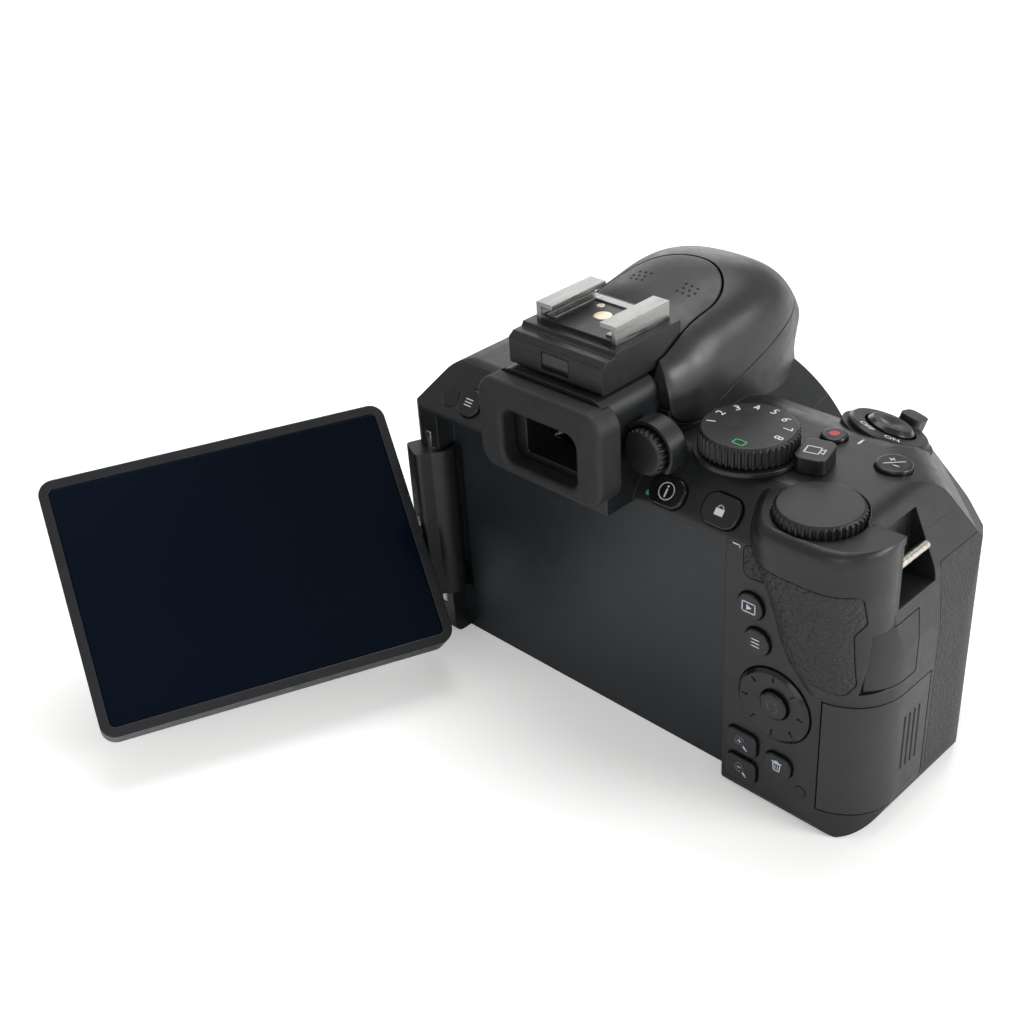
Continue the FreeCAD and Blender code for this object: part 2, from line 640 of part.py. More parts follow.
def window_face(margin, deep):
    """The eyepiece window's outline at a depth."""
    half, high = size("eye_window_wide") / 2 + margin, size("eye_window_high") / 2 + margin
    up = size("eye_up")
    corners = [(x * half, up + z * high, 1.4 + margin) for x, z in ((-1, -1), (1, -1), (1, 1), (-1, 1))]
    return rounded_face(corners, in_front(deep))


def cover_shell():
    """All the covers as one hollow skin, with every opening cut, before it is split."""
    gap, fit, clear = size("gap"), size("fit"), size("gap") / 2
    skin = outer_form().cut(inner_room())
    hump_top = slab(-30, 30, -20, size("lid_pivot_deep"), 78, 110).cut(
        slab(-30, 30, -20, size("hump_rear_deep"), 50, 110))
    dome = hump_loft(size("lid_wall") + 2 * gap).common(
        slab(-30, 30, 0, size("dome_deep"), 60, 110)).cut(hump_inside())
    dome = dome.cut(pivot_bar(size("lid_arm") + gap, size("island_wide"), 30)).cut(
        pivot_bar(size("lid_arm") + gap, -30, -size("island_wide")))
    skin = skin.cut(lid_zone(gap).fuse(hump_top).cut(slab(-30, 30, -20, 8, 50, 110)))
    skin = skin.fuse(dome)
    skin = skin.cut(Part.makeCompound([
        pivot_bar(size("lid_pin") + fit, -30, 30),
        slab(-size("recess_left"), size("recess_right"), -10, size("recess_deep"), -5,
             size("recess_top")),
    ]))
    openings = [hatch_zone(gap), bay_box(0), lug_pocket(0, False), lug_pocket(0, True), cell_room(0), card_room(0),
                card_door_zone(gap).common(body_prisms(0).cut(body_prisms(size("door_thick + gap")))),
                port_zone(gap).common(body_prisms(0).cut(body_prisms(size("door_thick + gap")))),
                left_port_zone(gap).common(
                    body_prisms(0).cut(body_prisms(size("door_thick + gap")))),
                thumb_panel(clear, size("skin") + clear)]
    openings += button_holes(FACES)
    openings += flange_rooms(FACES)
    openings += window_discs(fit, 5)
    openings += [
        disc_at("mode_x", "mode_deep", "60", size("shaft + fit"), 30),
        disc_at("command_x", "command_deep", "60", size("shaft + fit"), 30),
        disc_at("command_x", "command_deep", "command_up - gap", size("command_radius + gap"), 30),
        Part.makeCylinder(size("shutter_radius") + 1.6, 20, shutter_spot(-9), SHUTTER_WAY),
        Part.makeCylinder(size("switch_radius") + gap, 12, shutter_spot(0), SHUTTER_WAY),
        disc_at("pad_x", "-5", "pad_up", size("pad_radius + gap"), size("5 + 2.1"),
                Vector(0, 1, 0)),
        disc_at("pad_x", "-5", "pad_up", size("ok_radius") + 1.4, 12, Vector(0, 1, 0)),
        disc_at("diopter_x", "-12", "diopter_up", size("diopter_radius") + 0.4, 12 + 1.2,
                Vector(0, 1, 0)),
        disc_at("diopter_x", "-12", "diopter_up", 1.5 + fit, 15.4, Vector(0, 1, 0)),
        disc_at("0", "30", "axis_up", size("throat") + 5.2, 40, Vector(0, 1, 0)),
        disc_at("0", "mount_deep - mount_thick", "axis_up", size("mount_radius") + clear, 40,
                Vector(0, 1, 0)),
        disc_at("0", "-rear_y", "-1", size("socket_flange") + clear, size("base_thick") + 3),
    ]
    for margin, start in ((-0.9, -12), (clear, -1)):
        window = window_face(margin, start)
        openings.append(window.extrude(Vector(0, 30, 0)))
    for half in (-1, 1):
        start = at("hinge_x", "hinge_deep", "hinge_up") + Vector(
            0, 0, half * (size("hinge_tall") / 2 - 1))
        openings.append(round_bar(size("hinge_pin") + fit, start,
                                  start + Vector(0, 0, half * (size("hinge_pin_long") + 1.3))))
    for tool in openings:
        skin = skin.cut(tool)
    return skin


def split_covers():
    """Part the skin into the rear, top, front and bottom covers along their seams."""
    skin = cover_shell().cut(door_skin(grip_skin_zone(size("gap") / 2), size("skin + gap")))
    seam, up = size("seam_deep"), size("seam_up")
    side = size("side_seam_deep")
    rear_zone = slab(-90, 90, -30, seam, -10, 200).fuse(
        slab(43.5, 90, -30, side, -10, size("side_seam_up")))
    base_zone = slab(-44, 43, seam, 39, -10, size("base_thick"))
    top_zone = slab(-90, 90, seam, 100, up, 200).fuse(
        slab(43.5, 90, seam, side, size("side_seam_up"), 200)).fuse(
        slab(-90, -43.5, seam, 26, size("lug_low") - 12, 200))
    rear = skin.common(rear_zone)
    base = skin.common(base_zone).cut(rear_zone)
    top = skin.common(top_zone).cut(rear_zone)
    front = skin.cut(rear_zone.fuse([base_zone, top_zone]))
    for label, shape in (("rear_cover", rear), ("top_cover", top), ("front_cover", front),
                         ("bottom_cover", base)):
        form(label, shape)


# ---- Screen and its hinge ------------------------------------------------------------------

def screen_rotation(tilt):
    """X along the swivel shaft, Z out of the glass."""
    level = Vector(-SCREEN_SIDE.y, SCREEN_SIDE.x, 0).negative()
    rise = Vector(0, 0, 1)
    lean = math.radians(tilt)
    facing = level * -math.cos(lean) + rise * math.sin(lean)
    return Rotation(SCREEN_SIDE, facing.cross(SCREEN_SIDE), facing, "XYZ")


SCREEN_ORIGIN = ("hinge_x", "rear_y + hinge_deep", "hinge_up")


def hinge_parts():
    """The block that turns on the body, its two pins and the shaft the screen turns on."""
    upright = screen_rotation(0)
    reach, half, radius = size("hinge_reach"), size("hinge_half"), size("hinge_radius")
    tall = size("hinge_tall")
    corners = [(0, -half, 1), (reach, -half, 1.2), (reach, half, 1.2), (0, half, 1)]
    arm = rounded_face(corners, lambda a, b: Vector(a, -tall / 2, b)).extrude(Vector(0, tall, 0))
    knuckle = Part.makeCylinder(radius, tall, Vector(0, -tall / 2, 0), Vector(0, 1, 0))
    block_shape = arm.fuse(knuckle).removeSplitter()
    block_shape = block_shape.cut(round_bar(size("swivel_radius"), Vector(2, 0, 0), Vector(20, 0, 0)))
    for side in (-1, 1):
        block_shape = block_shape.cut(round_bar(size("hinge_pin"), Vector(0, side * (tall / 2 - 5), 0),
                                                Vector(0, side * (tall / 2 + 1), 0)))
    hinge = form("hinge_block", block_shape)
    place(hinge, SCREEN_ORIGIN, upright)
    pins = [round_bar(size("hinge_pin"), Vector(0, side * (tall / 2 - 5), 0),
                      Vector(0, side * (tall / 2 + size("hinge_pin_long")), 0)) for side in (-1, 1)]
    shaft = round_bar(size("swivel_radius"), Vector(2, 0, 0),
                      Vector(size("screen_start + swivel_grip"), 0, 0))
    place(form("hinge_pins", Part.makeCompound(pins + [shaft])), SCREEN_ORIGIN, upright)


def screen_body(label):
    return new_body(label, SCREEN_ORIGIN, screen_rotation(TILT))


def screen_housing():
    """The back shell of the screen, bored at its near edge for the swivel shaft."""
    body = screen_body("screen_housing")
    middle = "screen_start + screen_wide / 2"
    rear = "screen_proud - screen_thick"
    sketch = new_sketch(body)
    draw_rectangle(sketch, "screen_wide", "screen_high", "screen_corner", middle)
    extrude(body, sketch, "Pad", "screen_thick - bezel_thick", rear)
    room = new_sketch(body)
    draw_rectangle(room, "screen_wide - swivel_grip - 4 - housing_wall",
                   "screen_high - 2 * housing_wall", "screen_corner - housing_wall",
                   f"{middle} + (swivel_grip + 4 - housing_wall) / 2")
    extrude(body, room, "Pocket", "screen_thick", f"{rear} + housing_wall")
    bore = new_sketch(body, "YZ_Plane")
    draw_circle(bore, "swivel_radius + fit")
    extrude(body, bore, "Pocket", "swivel_grip + gap", "screen_start")


def screen_bezel():
    body = screen_body("screen_bezel")
    middle = "screen_start + screen_wide / 2"
    sketch = new_sketch(body)
    draw_rectangle(sketch, "screen_wide", "screen_high", "screen_corner", middle)
    draw_rectangle(sketch, "screen_wide - 2 * bezel_edge", "screen_high - 2 * bezel_edge", "1.2",
                   middle, "0", "_window")
    extrude(body, sketch, "Pad", "bezel_thick", "screen_proud - bezel_thick")


def screen_display():
    """The glass face with the display module bonded behind it."""
    body = screen_body("screen_display")
    sketch = new_sketch(body)
    draw_rectangle(sketch, "screen_wide - 2 * bezel_edge - gap", "screen_high - 2 * bezel_edge - gap",
                   "1.1", "screen_start + screen_wide / 2")
    extrude(body, sketch, "Pad", "bezel_thick - fit", "screen_proud - bezel_thick")
    module = new_sketch(body)
    draw_rectangle(module, "screen_wide - swivel_grip - 4 - housing_wall - 2 * gap - 1.6",
                   "screen_high - 2 * housing_wall - 2 * gap - 1.6", "1",
                   "screen_start + (screen_wide + swivel_grip + 4 - housing_wall) / 2")
    extrude(body, module, "Pad", "3", "screen_proud - bezel_thick - 3")


# ---- Dials, switches and buttons -----------------------------------------------------------

def dial(label, spot, rotation, radius, high, shaft, shaft_long, teeth, edge="0.7"):
    """A knurled dial with its shaft; its underside is at the given spot."""
    body = new_body(label, spot, rotation)
    turn(body, [("0", f"-({shaft_long})"), (shaft, f"-({shaft_long})"), (shaft, "0"), (radius, "0"),
                (radius, f"{high} - {edge}"), (f"{radius} - {edge}", high), ("0", high)])
    rim_notches(body, radius, teeth, high)


def dials():
    dial("mode_dial", ("mode_x", "rear_y + mode_deep", "mode_up"), TOP, "mode_radius", "mode_high",
         "shaft", "6", "mode_teeth")
    dial("command_dial", ("command_x", "rear_y + command_deep", "command_up"), TOP,
         "command_radius", "command_high", "shaft", "5", "command_teeth")
    dial("diopter_dial", ("diopter_x", "rear_y + 0.9", "diopter_up"), REAR, "diopter_radius",
         "diopter_thick + 0.6", "1.5", "2.3", "diopter_teeth")


def live_view_lever():
    """The sprung lever that turns on the mode dial's shaft."""
    body = new_body("live_view_lever", ("mode_x", "rear_y + mode_deep", "body_top"),
                    Rotation(Vector(0, 0, 1), 15))
    turn(body, [("shaft + fit", "gap / 2"), ("mode_radius + 0.9", "gap / 2"),
                ("mode_radius + 0.9", "mode_up - body_top - gap"),
                ("shaft + fit", "mode_up - body_top - gap")])
    tab = new_sketch(body)
    draw_rectangle(tab, "6.4", "8.2", "1.8", "mode_radius + gap + 3.2")
    extrude(body, tab, "Pad", "3.2", "gap / 2")


def power_switch():
    """The ring around the shutter button, with its finger tab to the front."""
    body = new_body("power_switch", ("switch_x", "rear_y + switch_deep", "switch_up"), SHUTTER)
    bore, inside = "shutter_radius + 0.6", "shutter_radius + 1"
    skirt = "shutter_radius + 1.6 - fit"
    turn(body, [(inside, "-3.2"), (skirt, "-3.2"), (skirt, "gap / 2"), ("switch_radius", "gap / 2"),
                ("switch_radius", "switch_high - 0.6"), ("switch_radius - 0.6", "switch_high"),
                (bore, "switch_high"), (bore, "gap / 2"), (inside, "-gap")])
    tab = new_sketch(body)
    draw_rectangle(tab, "4.8", "5.4", "1.6", "0", "switch_radius + 0.6")
    extrude(body, tab, "Pad", "switch_high + 1.5", "gap / 2")


def shutter_button():
    """The release button: a dished cap on a stem that slides inside the ring."""
    body = new_body("shutter_button", ("switch_x", "rear_y + switch_deep", "switch_up"), SHUTTER)
    turn(body, [("0", "-4.8"), ("shutter_radius / 2", "-4.8"), ("shutter_radius / 2", "-1.2"),
                ("shutter_radius", "-1.2"), ("shutter_radius", "shutter_high - 0.8"),
                ("shutter_radius - 0.8", "shutter_high"), ("shutter_radius - 2.2", "shutter_high"),
                ("0", "shutter_high - 0.5")])


def multi_selector():
    """The rocking ring of the selector, round the central button."""
    body = new_body("multi_selector", ("pad_x", "rear_y", "pad_up"), REAR)
    bore = "ok_radius + gap"
    turn(body, [(bore, "-1.7"), ("pad_radius", "-1.7"), ("pad_radius", "0.3"),
                ("pad_radius - 0.8", "0.9"), ("pad_radius - 2.6", "0.7"), (f"{bore} + 0.6", "0.2"),
                (bore, "0")])


def ok_button():
    body = new_body("ok_button", ("pad_x", "rear_y", "pad_up"), REAR)
    turn(body, [("0", "-3.4"), ("ok_radius + 1", "-3.4"), ("ok_radius + 1", "-2.5"),
                ("ok_radius", "-2.5"), ("ok_radius", "0.5"), ("ok_radius - 0.5", "0.8"),
                ("0", "0.8")])


def push_button(name, facing):
    """A push button: a cap through the cover and a flange that keeps it in."""
    body = new_body(name, button_spot(name, facing), FACES[facing])
    wide, high, corner = (f"{name}_{part}" for part in ("wide", "high", "corner"))
    cap = new_sketch(body)
    draw_rectangle(cap, wide, high, corner)
    back = "wall + gap"
    extrude(body, cap, "Pad", f"proud + {back}", f"-({back})")
    flange = new_sketch(body)
    draw_rectangle(flange, f"{wide} + 2 * flange", f"{high} + 2 * flange", f"{corner} + flange")
    extrude(body, flange, "Pad", "flange_thick", f"-({back}) - flange_thick")
    round_rim(body, "proud", "0.4")


def round_rim(body, level, radius):
    """Round every edge of a body that lies at a level above its own XY plane."""
    doc.recompute()
    height = size(level)
    base = body.Tip
    names = [f"Edge{n}" for n, edge in enumerate(base.Shape.Edges, 1)
             if abs(edge.BoundBox.ZMin - height) < 1e-4 and abs(edge.BoundBox.ZMax - height) < 1e-4]
    rim = body.newObject("PartDesign::Fillet", "rim")
    rim.Base = (base, names)
    rim.setExpression("Radius", bound(radius))


def signal_windows():
    """The small flush windows: card lamp, remote receiver, focus lamp and eye sensor."""
    windows = window_discs(0, 0.1) + [eye_sensor(0.1).extrude(Vector(0, 0.8, 0))]
    form("signal_windows", Part.makeCompound(windows))


def window_discs(margin, top):
    """The round windows, grown by a margin, from 1.4 below the skin to `top` above it."""
    slope = size("bevel_run / (body_top - bevel_up)")
    discs = []
    for x, height, radius, facing in LAMPS:
        deep = {"rear": 0, "front": size("body_deep"), "bevel": (height - size("bevel_up")) * slope}
        disc = Part.makeCylinder(radius + margin, top + 1.4 + margin, Vector(0, 0, -1.4 - margin))
        disc.Placement = Placement(in_plan(height)(x, deep[facing]), FACES[facing])
        discs.append(disc)
    return discs


def eye_sensor(margin):
    """The small window on the rear of the shoe block, as a face."""
    corners = [(x * (3.6 - margin), 88.6 + z * (1.9 - margin), 0.4)
               for x, z in ((-1, -1), (1, -1), (1, 1), (-1, 1))]
    return rounded_face(corners, in_front(margin - size("block_rear")))


# ---- Viewfinder, flash and shoe ------------------------------------------------------------

def eyecup():
    """The rubber eyecup that slips over the viewfinder's rear edge."""
    body = new_body("eyecup", ("0", "rear_y", "cup_up"), REAR)
    outer = new_sketch(body)
    draw_rectangle(outer, "cup_wide", "cup_high", "4.2")
    extrude(body, outer, "Pad", "cup_rear - cup_start", "cup_start")
    seat = new_sketch(body)
    draw_rectangle(seat, "eye_wide + 2 * gap", "30", "4", "0", "eye_top + gap - cup_up - 15")
    extrude(body, seat, "Pocket", "eye_rear + gap")
    window = new_sketch(body)
    draw_rectangle(window, "eye_window_wide + 4", "eye_window_high + 1", "2.6", "0", "eye_up - cup_up")
    extrude(body, window, "Pocket", "cup_rear + 5")
    round_rim(body, "cup_rear", "1.1")


def eyepiece_lens():
    """The eyepiece glass behind the window's inner lip."""
    lens = new_body("eyepiece_lens", ("0", "rear_y", "eye_up"), REAR)
    glass = new_sketch(lens)
    draw_rectangle(glass, "eye_window_wide", "eye_window_high", "1.4")
    extrude(lens, glass, "Pad", "2.4", "-3.5")


def flash_lid():
    """The pop-up lid: a thin arched shell on two arms that turn beside the shoe block."""
    shell = hump_loft(0).common(lid_zone(0)).cut(island_zone(0.4))
    hollow = hump_loft(size("lid_wall")).common(
        slab(-30, 30, size("lid_pivot_deep"), 57.6, 50, 120))
    lid = shell.cut(hollow.cut(pivot_bar(size("lid_arm"), -30, 30)))
    inner = size("island_wide") + 0.4
    pins = [pivot_bar(size("lid_pin"), size("hump_core") + 0.3, inner + 1),
            pivot_bar(size("lid_pin"), -inner - 1, -size("hump_core") - 0.3)]
    form("flash_lid", lid.fuse(pins))


def flash_head():
    """The flash tube's housing under the lid's nose, and the window on its face."""
    half = size("flash_wide") / 2
    room = slab(-half, half, 45.5, 57.2, 60, 110)
    housing = hump_loft(size("lid_wall") + 0.2).common(lid_zone(-1.5)).common(room)
    window = lid_zone(-0.5).cut(lid_zone(-1.5)).common(slab(1 - half, half - 1, 46.5, 56.5, 60, 110))
    window = window.common(hump_loft(size("lid_wall") + 0.3))
    form("flash_head", housing)
    form("flash_window", window)


def shoe_block():
    """The plinth under the accessory shoe, with the microphone island ahead of it."""
    rear, low = -size("block_rear"), size("block_low")
    top = size("shoe_up - shoe_seat")
    wide = size("island_wide")
    corners = [(rear, low, 0.6), (rear, 91.2, 0.6), (rear + 1.4, 92.2, 0.4), (rear + 3.8, 92.2, 0.4),
               (rear + 4.2, top, 0.3), (size("lid_pivot_deep") + 0.2, top, 0.01),
               (size("lid_pivot_deep") + 0.2, low, 0.01)]
    plinth = rounded_face(corners, in_side(-wide)).extrude(Vector(2 * wide, 0, 0))
    island = hump_loft(0).common(island_zone(0)).common(
        slab(-30, 30, size("shoe_rear_deep + shoe_long + gap"), 70, 75, 120))
    above = slab(-wide, wide, -20, size("shoe_rear_deep + shoe_long + gap"), top, 120)
    solid = plinth.fuse(island).cut(hump_loft(size("lid_wall"))).cut(above)
    solid = solid.cut(eye_sensor(0).extrude(Vector(0, 1, 0)))
    half = size("shoe_slot") / 2 - size("fit")
    floor = slab(-half, half, size("shoe_rear_deep"), size("shoe_rear_deep + shoe_long"), top - 0.4,
                 size("shoe_up"))
    wells = [Part.makeCylinder(size(radius) + size("fit"), 2,
                               at(across, f"shoe_rear_deep + shoe_long / 2 + {along}",
                                  "shoe_up - contact_thick"))
             for radius, across, along in CONTACTS]
    solid = solid.fuse(floor).cut(Part.makeCompound(wells))
    form("shoe_block", solid)


def accessory_shoe():
    """The shoe's bent-metal rails, insulating floor, contacts and flat spring."""
    rear = "rear_y + shoe_rear_deep"
    rails = new_body("shoe_rails", ("0", rear, "0"), FRONT)
    base, roof = "shoe_up - shoe_seat", "shoe_up + shoe_clear"
    half, slot, lip = "shoe_wide / 2", "shoe_slot / 2", "shoe_gap / 2"
    right = [(half, base), (half, f"{roof} + shoe_lip"), (lip, f"{roof} + shoe_lip"), (lip, roof),
             (slot, roof), (slot, base)]
    left = [(f"-({x})", up) for x, up in reversed(right)]
    rails.AllowCompound = True
    for side in (right, left):
        sketch = new_sketch(rails)
        draw_outline(sketch, [(x, f"-({up})") for x, up in side])
        extrude(rails, sketch, "Pad", "shoe_long")
    contacts = [rod(f"contact_{n}", radius, "contact_thick",
                    (across, f"{rear} + shoe_long / 2 + {along}", "shoe_up - contact_thick + fit"))
                for n, (radius, across, along) in enumerate(CONTACTS)]
    keep(join("shoe_contact_set", contacts), "shoe_contacts")
    legs = [block("spring_left", "-9", "-6.6", "shoe_rear_deep + 1.4", "shoe_rear_deep + 15", "shoe_up",
                  "shoe_up + spring_thick"),
            block("spring_right", "6.6", "9", "shoe_rear_deep + 1.4", "shoe_rear_deep + 15", "shoe_up",
                  "shoe_up + spring_thick"),
            block("spring_bridge", "-7", "7", "shoe_rear_deep + 13", "shoe_rear_deep + 15", "shoe_up",
                  "shoe_up + spring_thick")]
    keep(join("shoe_spring_sheet", legs), "shoe_spring")


CARD_LEFT = "body_right - 3.5 - card_long"
CARD_LOW = "(card_low + card_top - card_high) / 2"
# Contacts in the shoe: radius, place across and place along from the middle.
CONTACTS = [("1.9", "0", "0"), ("0.9", "-3.6", "3.4"), ("0.9", "3.6", "3.4"), ("0.9", "3.6", "-3.4")]


# ---- Lens mount and the works inside -------------------------------------------------------

def mirror_box():
    """The box behind the mount: open to the lens, the shutter and the focusing screen."""
    half = "box_wide / 2"
    walls = join("box_walls", [
        block("box_outer", f"-{half}", half, "sensor_deep + 1.6", "body_deep - wall - gap", "box_low",
              "box_top"),
        rod("box_neck", "throat + 4.8", "mount_deep - mount_thick - neck_deep",
            ("0", "rear_y + neck_deep", "axis_up"), FRONT)])
    hollow = join("box_hollow", [
        block("chamber", "-chamber_wide / 2", "chamber_wide / 2", "sensor_deep + 3", "50",
              "chamber_low", "chamber_top"),
        rod("throat_bore", "throat", "20", ("0", "rear_y + 44", "axis_up"), FRONT),
        block("finder_opening", "-14", "14", "21", "45", "chamber_top - 1", "box_top + 1"),
        block("gate", "-12.5", "12.5", "sensor_deep", "sensor_deep + 5", "axis_up - 8.5",
              "axis_up + 8.5"),
        rod("mirror_bearing", "1 + fit", "chamber_wide + 4",
            ("-chamber_wide / 2 - 2", "rear_y + mirror_deep", "mirror_up"), RIGHT)]
        + [rod(f"screw_hole_{n}", "1.3 + fit", "8", spot, FRONT)
           for n, spot in enumerate(screw_spots("mount_deep - 8"))])
    keep(cut("mirror_box_body", walls, hollow), "mirror_box")


def screw_spots(deep):
    """Four places round the mount ring."""
    return [(f"{round(25.2 * math.cos(math.radians(a)), 3)}", f"rear_y + {deep}",
             f"axis_up + {round(25.2 * math.sin(math.radians(a)), 3)}") for a in (45, 135, 225, 315)]


def lens_mount():
    """The bayonet ring with its three entry notches, and the four screws that hold it."""
    ring = new_body("lens_mount_ring", ("0", "rear_y + mount_deep - mount_thick", "axis_up"), FRONT)
    turn(ring, [("throat", "0"), ("mount_radius", "0"), ("mount_radius", "mount_thick - 0.3"),
                ("mount_radius - 0.3", "mount_thick"), ("throat", "mount_thick")])
    notch = new_sketch(ring)
    draw_circle(notch, "3.2", "throat - 1.4")
    pocket = extrude(ring, notch, "Pocket", "mount_thick + 1")
    pattern = ring.newObject("PartDesign::PolarPattern", "notches")
    pattern.Originals = [pocket]
    pattern.Axis = (notch, ["N_Axis"])
    pattern.Angle = 360
    pattern.Occurrences = 3
    ring.Tip = pattern
    holes = new_sketch(ring)
    for n, angle in enumerate((45, 135, 225, 315)):
        draw_circle(holes, "1.3 + fit", f"{round(25.2 * math.cos(math.radians(angle)), 3)}",
                    f"{round(25.2 * math.sin(math.radians(angle)), 3)}", f"_{n}")
    extrude(ring, holes, "Pocket", "mount_thick + 1")
    screws = [rod(f"mount_screw_{n}", "1.3", "7.2", spot, FRONT)
              for n, spot in enumerate(screw_spots("mount_deep - 7.3"))]
    keep(join("mount_screw_set", screws), "mount_screws")


def reflex_mirror():
    """The mirror at 45 degrees and the holder that turns on two stub pins."""
    lean = Rotation(Vector(1, 0, 0), -45)
    spot = ("0", "rear_y + mirror_deep", "mirror_up")
    glass = new_body("reflex_mirror", spot, lean)
    sketch = new_sketch(glass)
    draw_rectangle(sketch, "mirror_wide", "mirror_long", "0.5", "0", "mirror_long / 2 + 1.1")
    extrude(glass, sketch, "Pad", "mirror_thick", "0")
    holder = new_body("mirror_holder", spot, lean)
    sketch = new_sketch(holder)
    draw_rectangle(sketch, "mirror_wide", "mirror_long + 1.1", "0.5", "0", "mirror_long / 2 + 0.55")
    extrude(holder, sketch, "Pad", "1", "-1")
    axle = new_sketch(holder, "YZ_Plane")
    draw_circle(axle, "1")
    extrude(holder, axle, "Pad", "chamber_wide + 3", "-(chamber_wide + 3) / 2")


def inner_works():
    """Focusing screen, finder prism, shutter, sensor and circuit boards."""
    keep(block("focusing_screen", "-13.7", "13.7", "21.3", "43", "box_top - 1.6", "box_top - 0.2"),
         "focusing_screen")
    prism = new_body("finder_prism", ("-hump_core + gap", "0", "0"), Rotation(Vector(1, 1, 1), 120))
    sketch = new_sketch(prism)
    draw_outline(sketch, [(f"rear_y + {deep}", up) for deep, up in
                          (("13", "62"), ("13", "76"), ("20", "81.6"), ("33", "81.6"),
                           ("neck_deep - 0.5", "72"), ("neck_deep - 0.5", "box_top + gap"),
                           ("22", "box_top + gap"))])
    extrude(prism, sketch, "Pad", "2 * hump_core - 2 * gap")
    keep(cut("shutter_frame",
             block("shutter_plate", "-21", "21", "sensor_deep + 0.1", "sensor_deep + 1.4", "22", "58"),
             block("shutter_gate", "-12.5", "12.5", "sensor_deep - 1", "sensor_deep + 3",
                   "axis_up - 8.5", "axis_up + 8.5")), "shutter_unit")
    keep(join("sensor_stack", [
        block("sensor_case", "-14.5", "14.5", "sensor_deep - 2.1", "sensor_deep - 0.5",
              "axis_up - 11", "axis_up + 11"),
        block("sensor_glass", "-11.75", "11.75", "sensor_deep - 0.6", "sensor_deep",
              "axis_up - 7.8", "axis_up + 7.8")]), "image_sensor")


def main_board():
    """The circuit board behind the sensor, its wing beside the mirror box and the card slot."""
    right = f"{CARD_LEFT} + card_long - 2.6"
    cage = cut("card_cage",
               block("cage_outer", f"{CARD_LEFT} - 1", right, "card_at - gap - 0.8",
                     "card_at + card_thick + gap + 0.8", f"{CARD_LOW} - gap - 0.8",
                     f"{CARD_LOW} + card_high + gap + 0.8"),
               block("cage_room", f"{CARD_LEFT} - gap", "body_right", "card_at - gap",
                     "card_at + card_thick + gap", f"{CARD_LOW} - gap",
                     f"{CARD_LOW} + card_high + gap"))
    keep(join("board_stack", [
        block("board_rear", "-24", f"{CARD_LEFT} + 3", "inner_deep + gap", "card_at - gap", "20", "58"),
        block("board_link", "-27", "-22", "inner_deep + gap", "10.4", "24", "46"),
        block("board_wing", "-47.5", "-26", "9.2", "10.4", "8", "44"),
        block("chip_large", "-42", "-30", "10.3", "11.6", "26", "38"),
        block("chip_small", "-44", "-38", "10.3", "11.4", "14", "20"), cage]), "main_board")


def battery_and_card():
    """Battery, its door and the memory card."""
    cell = new_body("battery", ("cell_x + cell_wide / 2", "rear_y + cell_deep + cell_long / 2",
                                "cell_low"))
    sketch = new_sketch(cell)
    draw_rectangle(sketch, "cell_wide", "cell_long", "2")
    extrude(cell, sketch, "Pad", "cell_high")
    hatch = new_body("battery_door", ("cell_x + cell_wide / 2",
                                      "rear_y + cell_deep + cell_long / 2", "0"))
    sketch = new_sketch(hatch)
    draw_rectangle(sketch, "cell_wide + 2 * hatch_margin", "cell_long + 2 * hatch_margin", "0.5")
    extrude(hatch, sketch, "Pad", "base_thick - gap")
    keep(block("memory_card", CARD_LEFT, f"{CARD_LEFT} + card_long", "card_at",
               "card_at + card_thick", CARD_LOW, f"{CARD_LOW} + card_high"), "memory_card")


def tripod_socket():
    """The threaded insert in the base, with its flange."""
    body = new_body("tripod_socket", ("0", "0", "0"))
    turn(body, [("0", "0"), ("socket_flange", "0"), ("socket_flange", "base_thick"),
                ("socket_major / 2 + 1.8", "base_thick"),
                ("socket_major / 2 + 1.8", "socket_long + 1.5"), ("0", "socket_long + 1.5")])
    bore = new_sketch(body)
    draw_circle(bore, "socket_minor / 2")
    extrude(body, bore, "Pocket", "socket_long + 1", "-1")


def strap_bars():
    """The metal bars that the neck strap loops through."""
    middle = "lug_low + lug_high / 2"
    right = rod("strap_bar_right", "lug_bar", "lug_long",
                ("body_right - lug_bar_in", "rear_y + lug_rear", middle), FRONT)
    left = rod("strap_bar_left", "lug_bar", "lug_long - 4",
               ("lug_bar_in - body_left", "rear_y + lug_rear + 6", f"{middle} - 8.5"), FRONT)
    keep(join("strap_bar_pair", [right, left]), "strap_bars")


def side_pieces():
    """Grip and thumb skins and the three doors, each a layer of the body's own outline."""
    form("grip_rubber", door_skin(grip_skin_zone(0), size("skin")))
    form("thumb_rubber", thumb_panel(0, size("skin")))
    form("card_door", door_skin(card_door_zone(0), size("door_thick")))
    step = size("door_thick") / 2
    edge = slab(60, 90, 0, size("port_deep") + 1.2, 0, 80)
    form("video_port_cover",
         door_skin(port_zone(0), size("door_thick")).cut(body_prisms(step).common(edge)))
    form("left_port_cover", door_skin(left_port_zone(0), size("door_thick")))


def build():
    split_covers()
    hinge_parts()
    screen_housing()
    screen_bezel()
    screen_display()
    dials()
    live_view_lever()
    power_switch()
    shutter_button()
    multi_selector()
    ok_button()
    for name, facing, *_ in BUTTONS:
        push_button(name, facing)
    signal_windows()
    eyecup()
    eyepiece_lens()
    flash_lid()
    flash_head()
    shoe_block()
    accessory_shoe()
    mirror_box()
    lens_mount()
    reflex_mirror()
    inner_works()
    main_board()
    battery_and_card()
    tripod_socket()
    strap_bars()
    side_pieces()


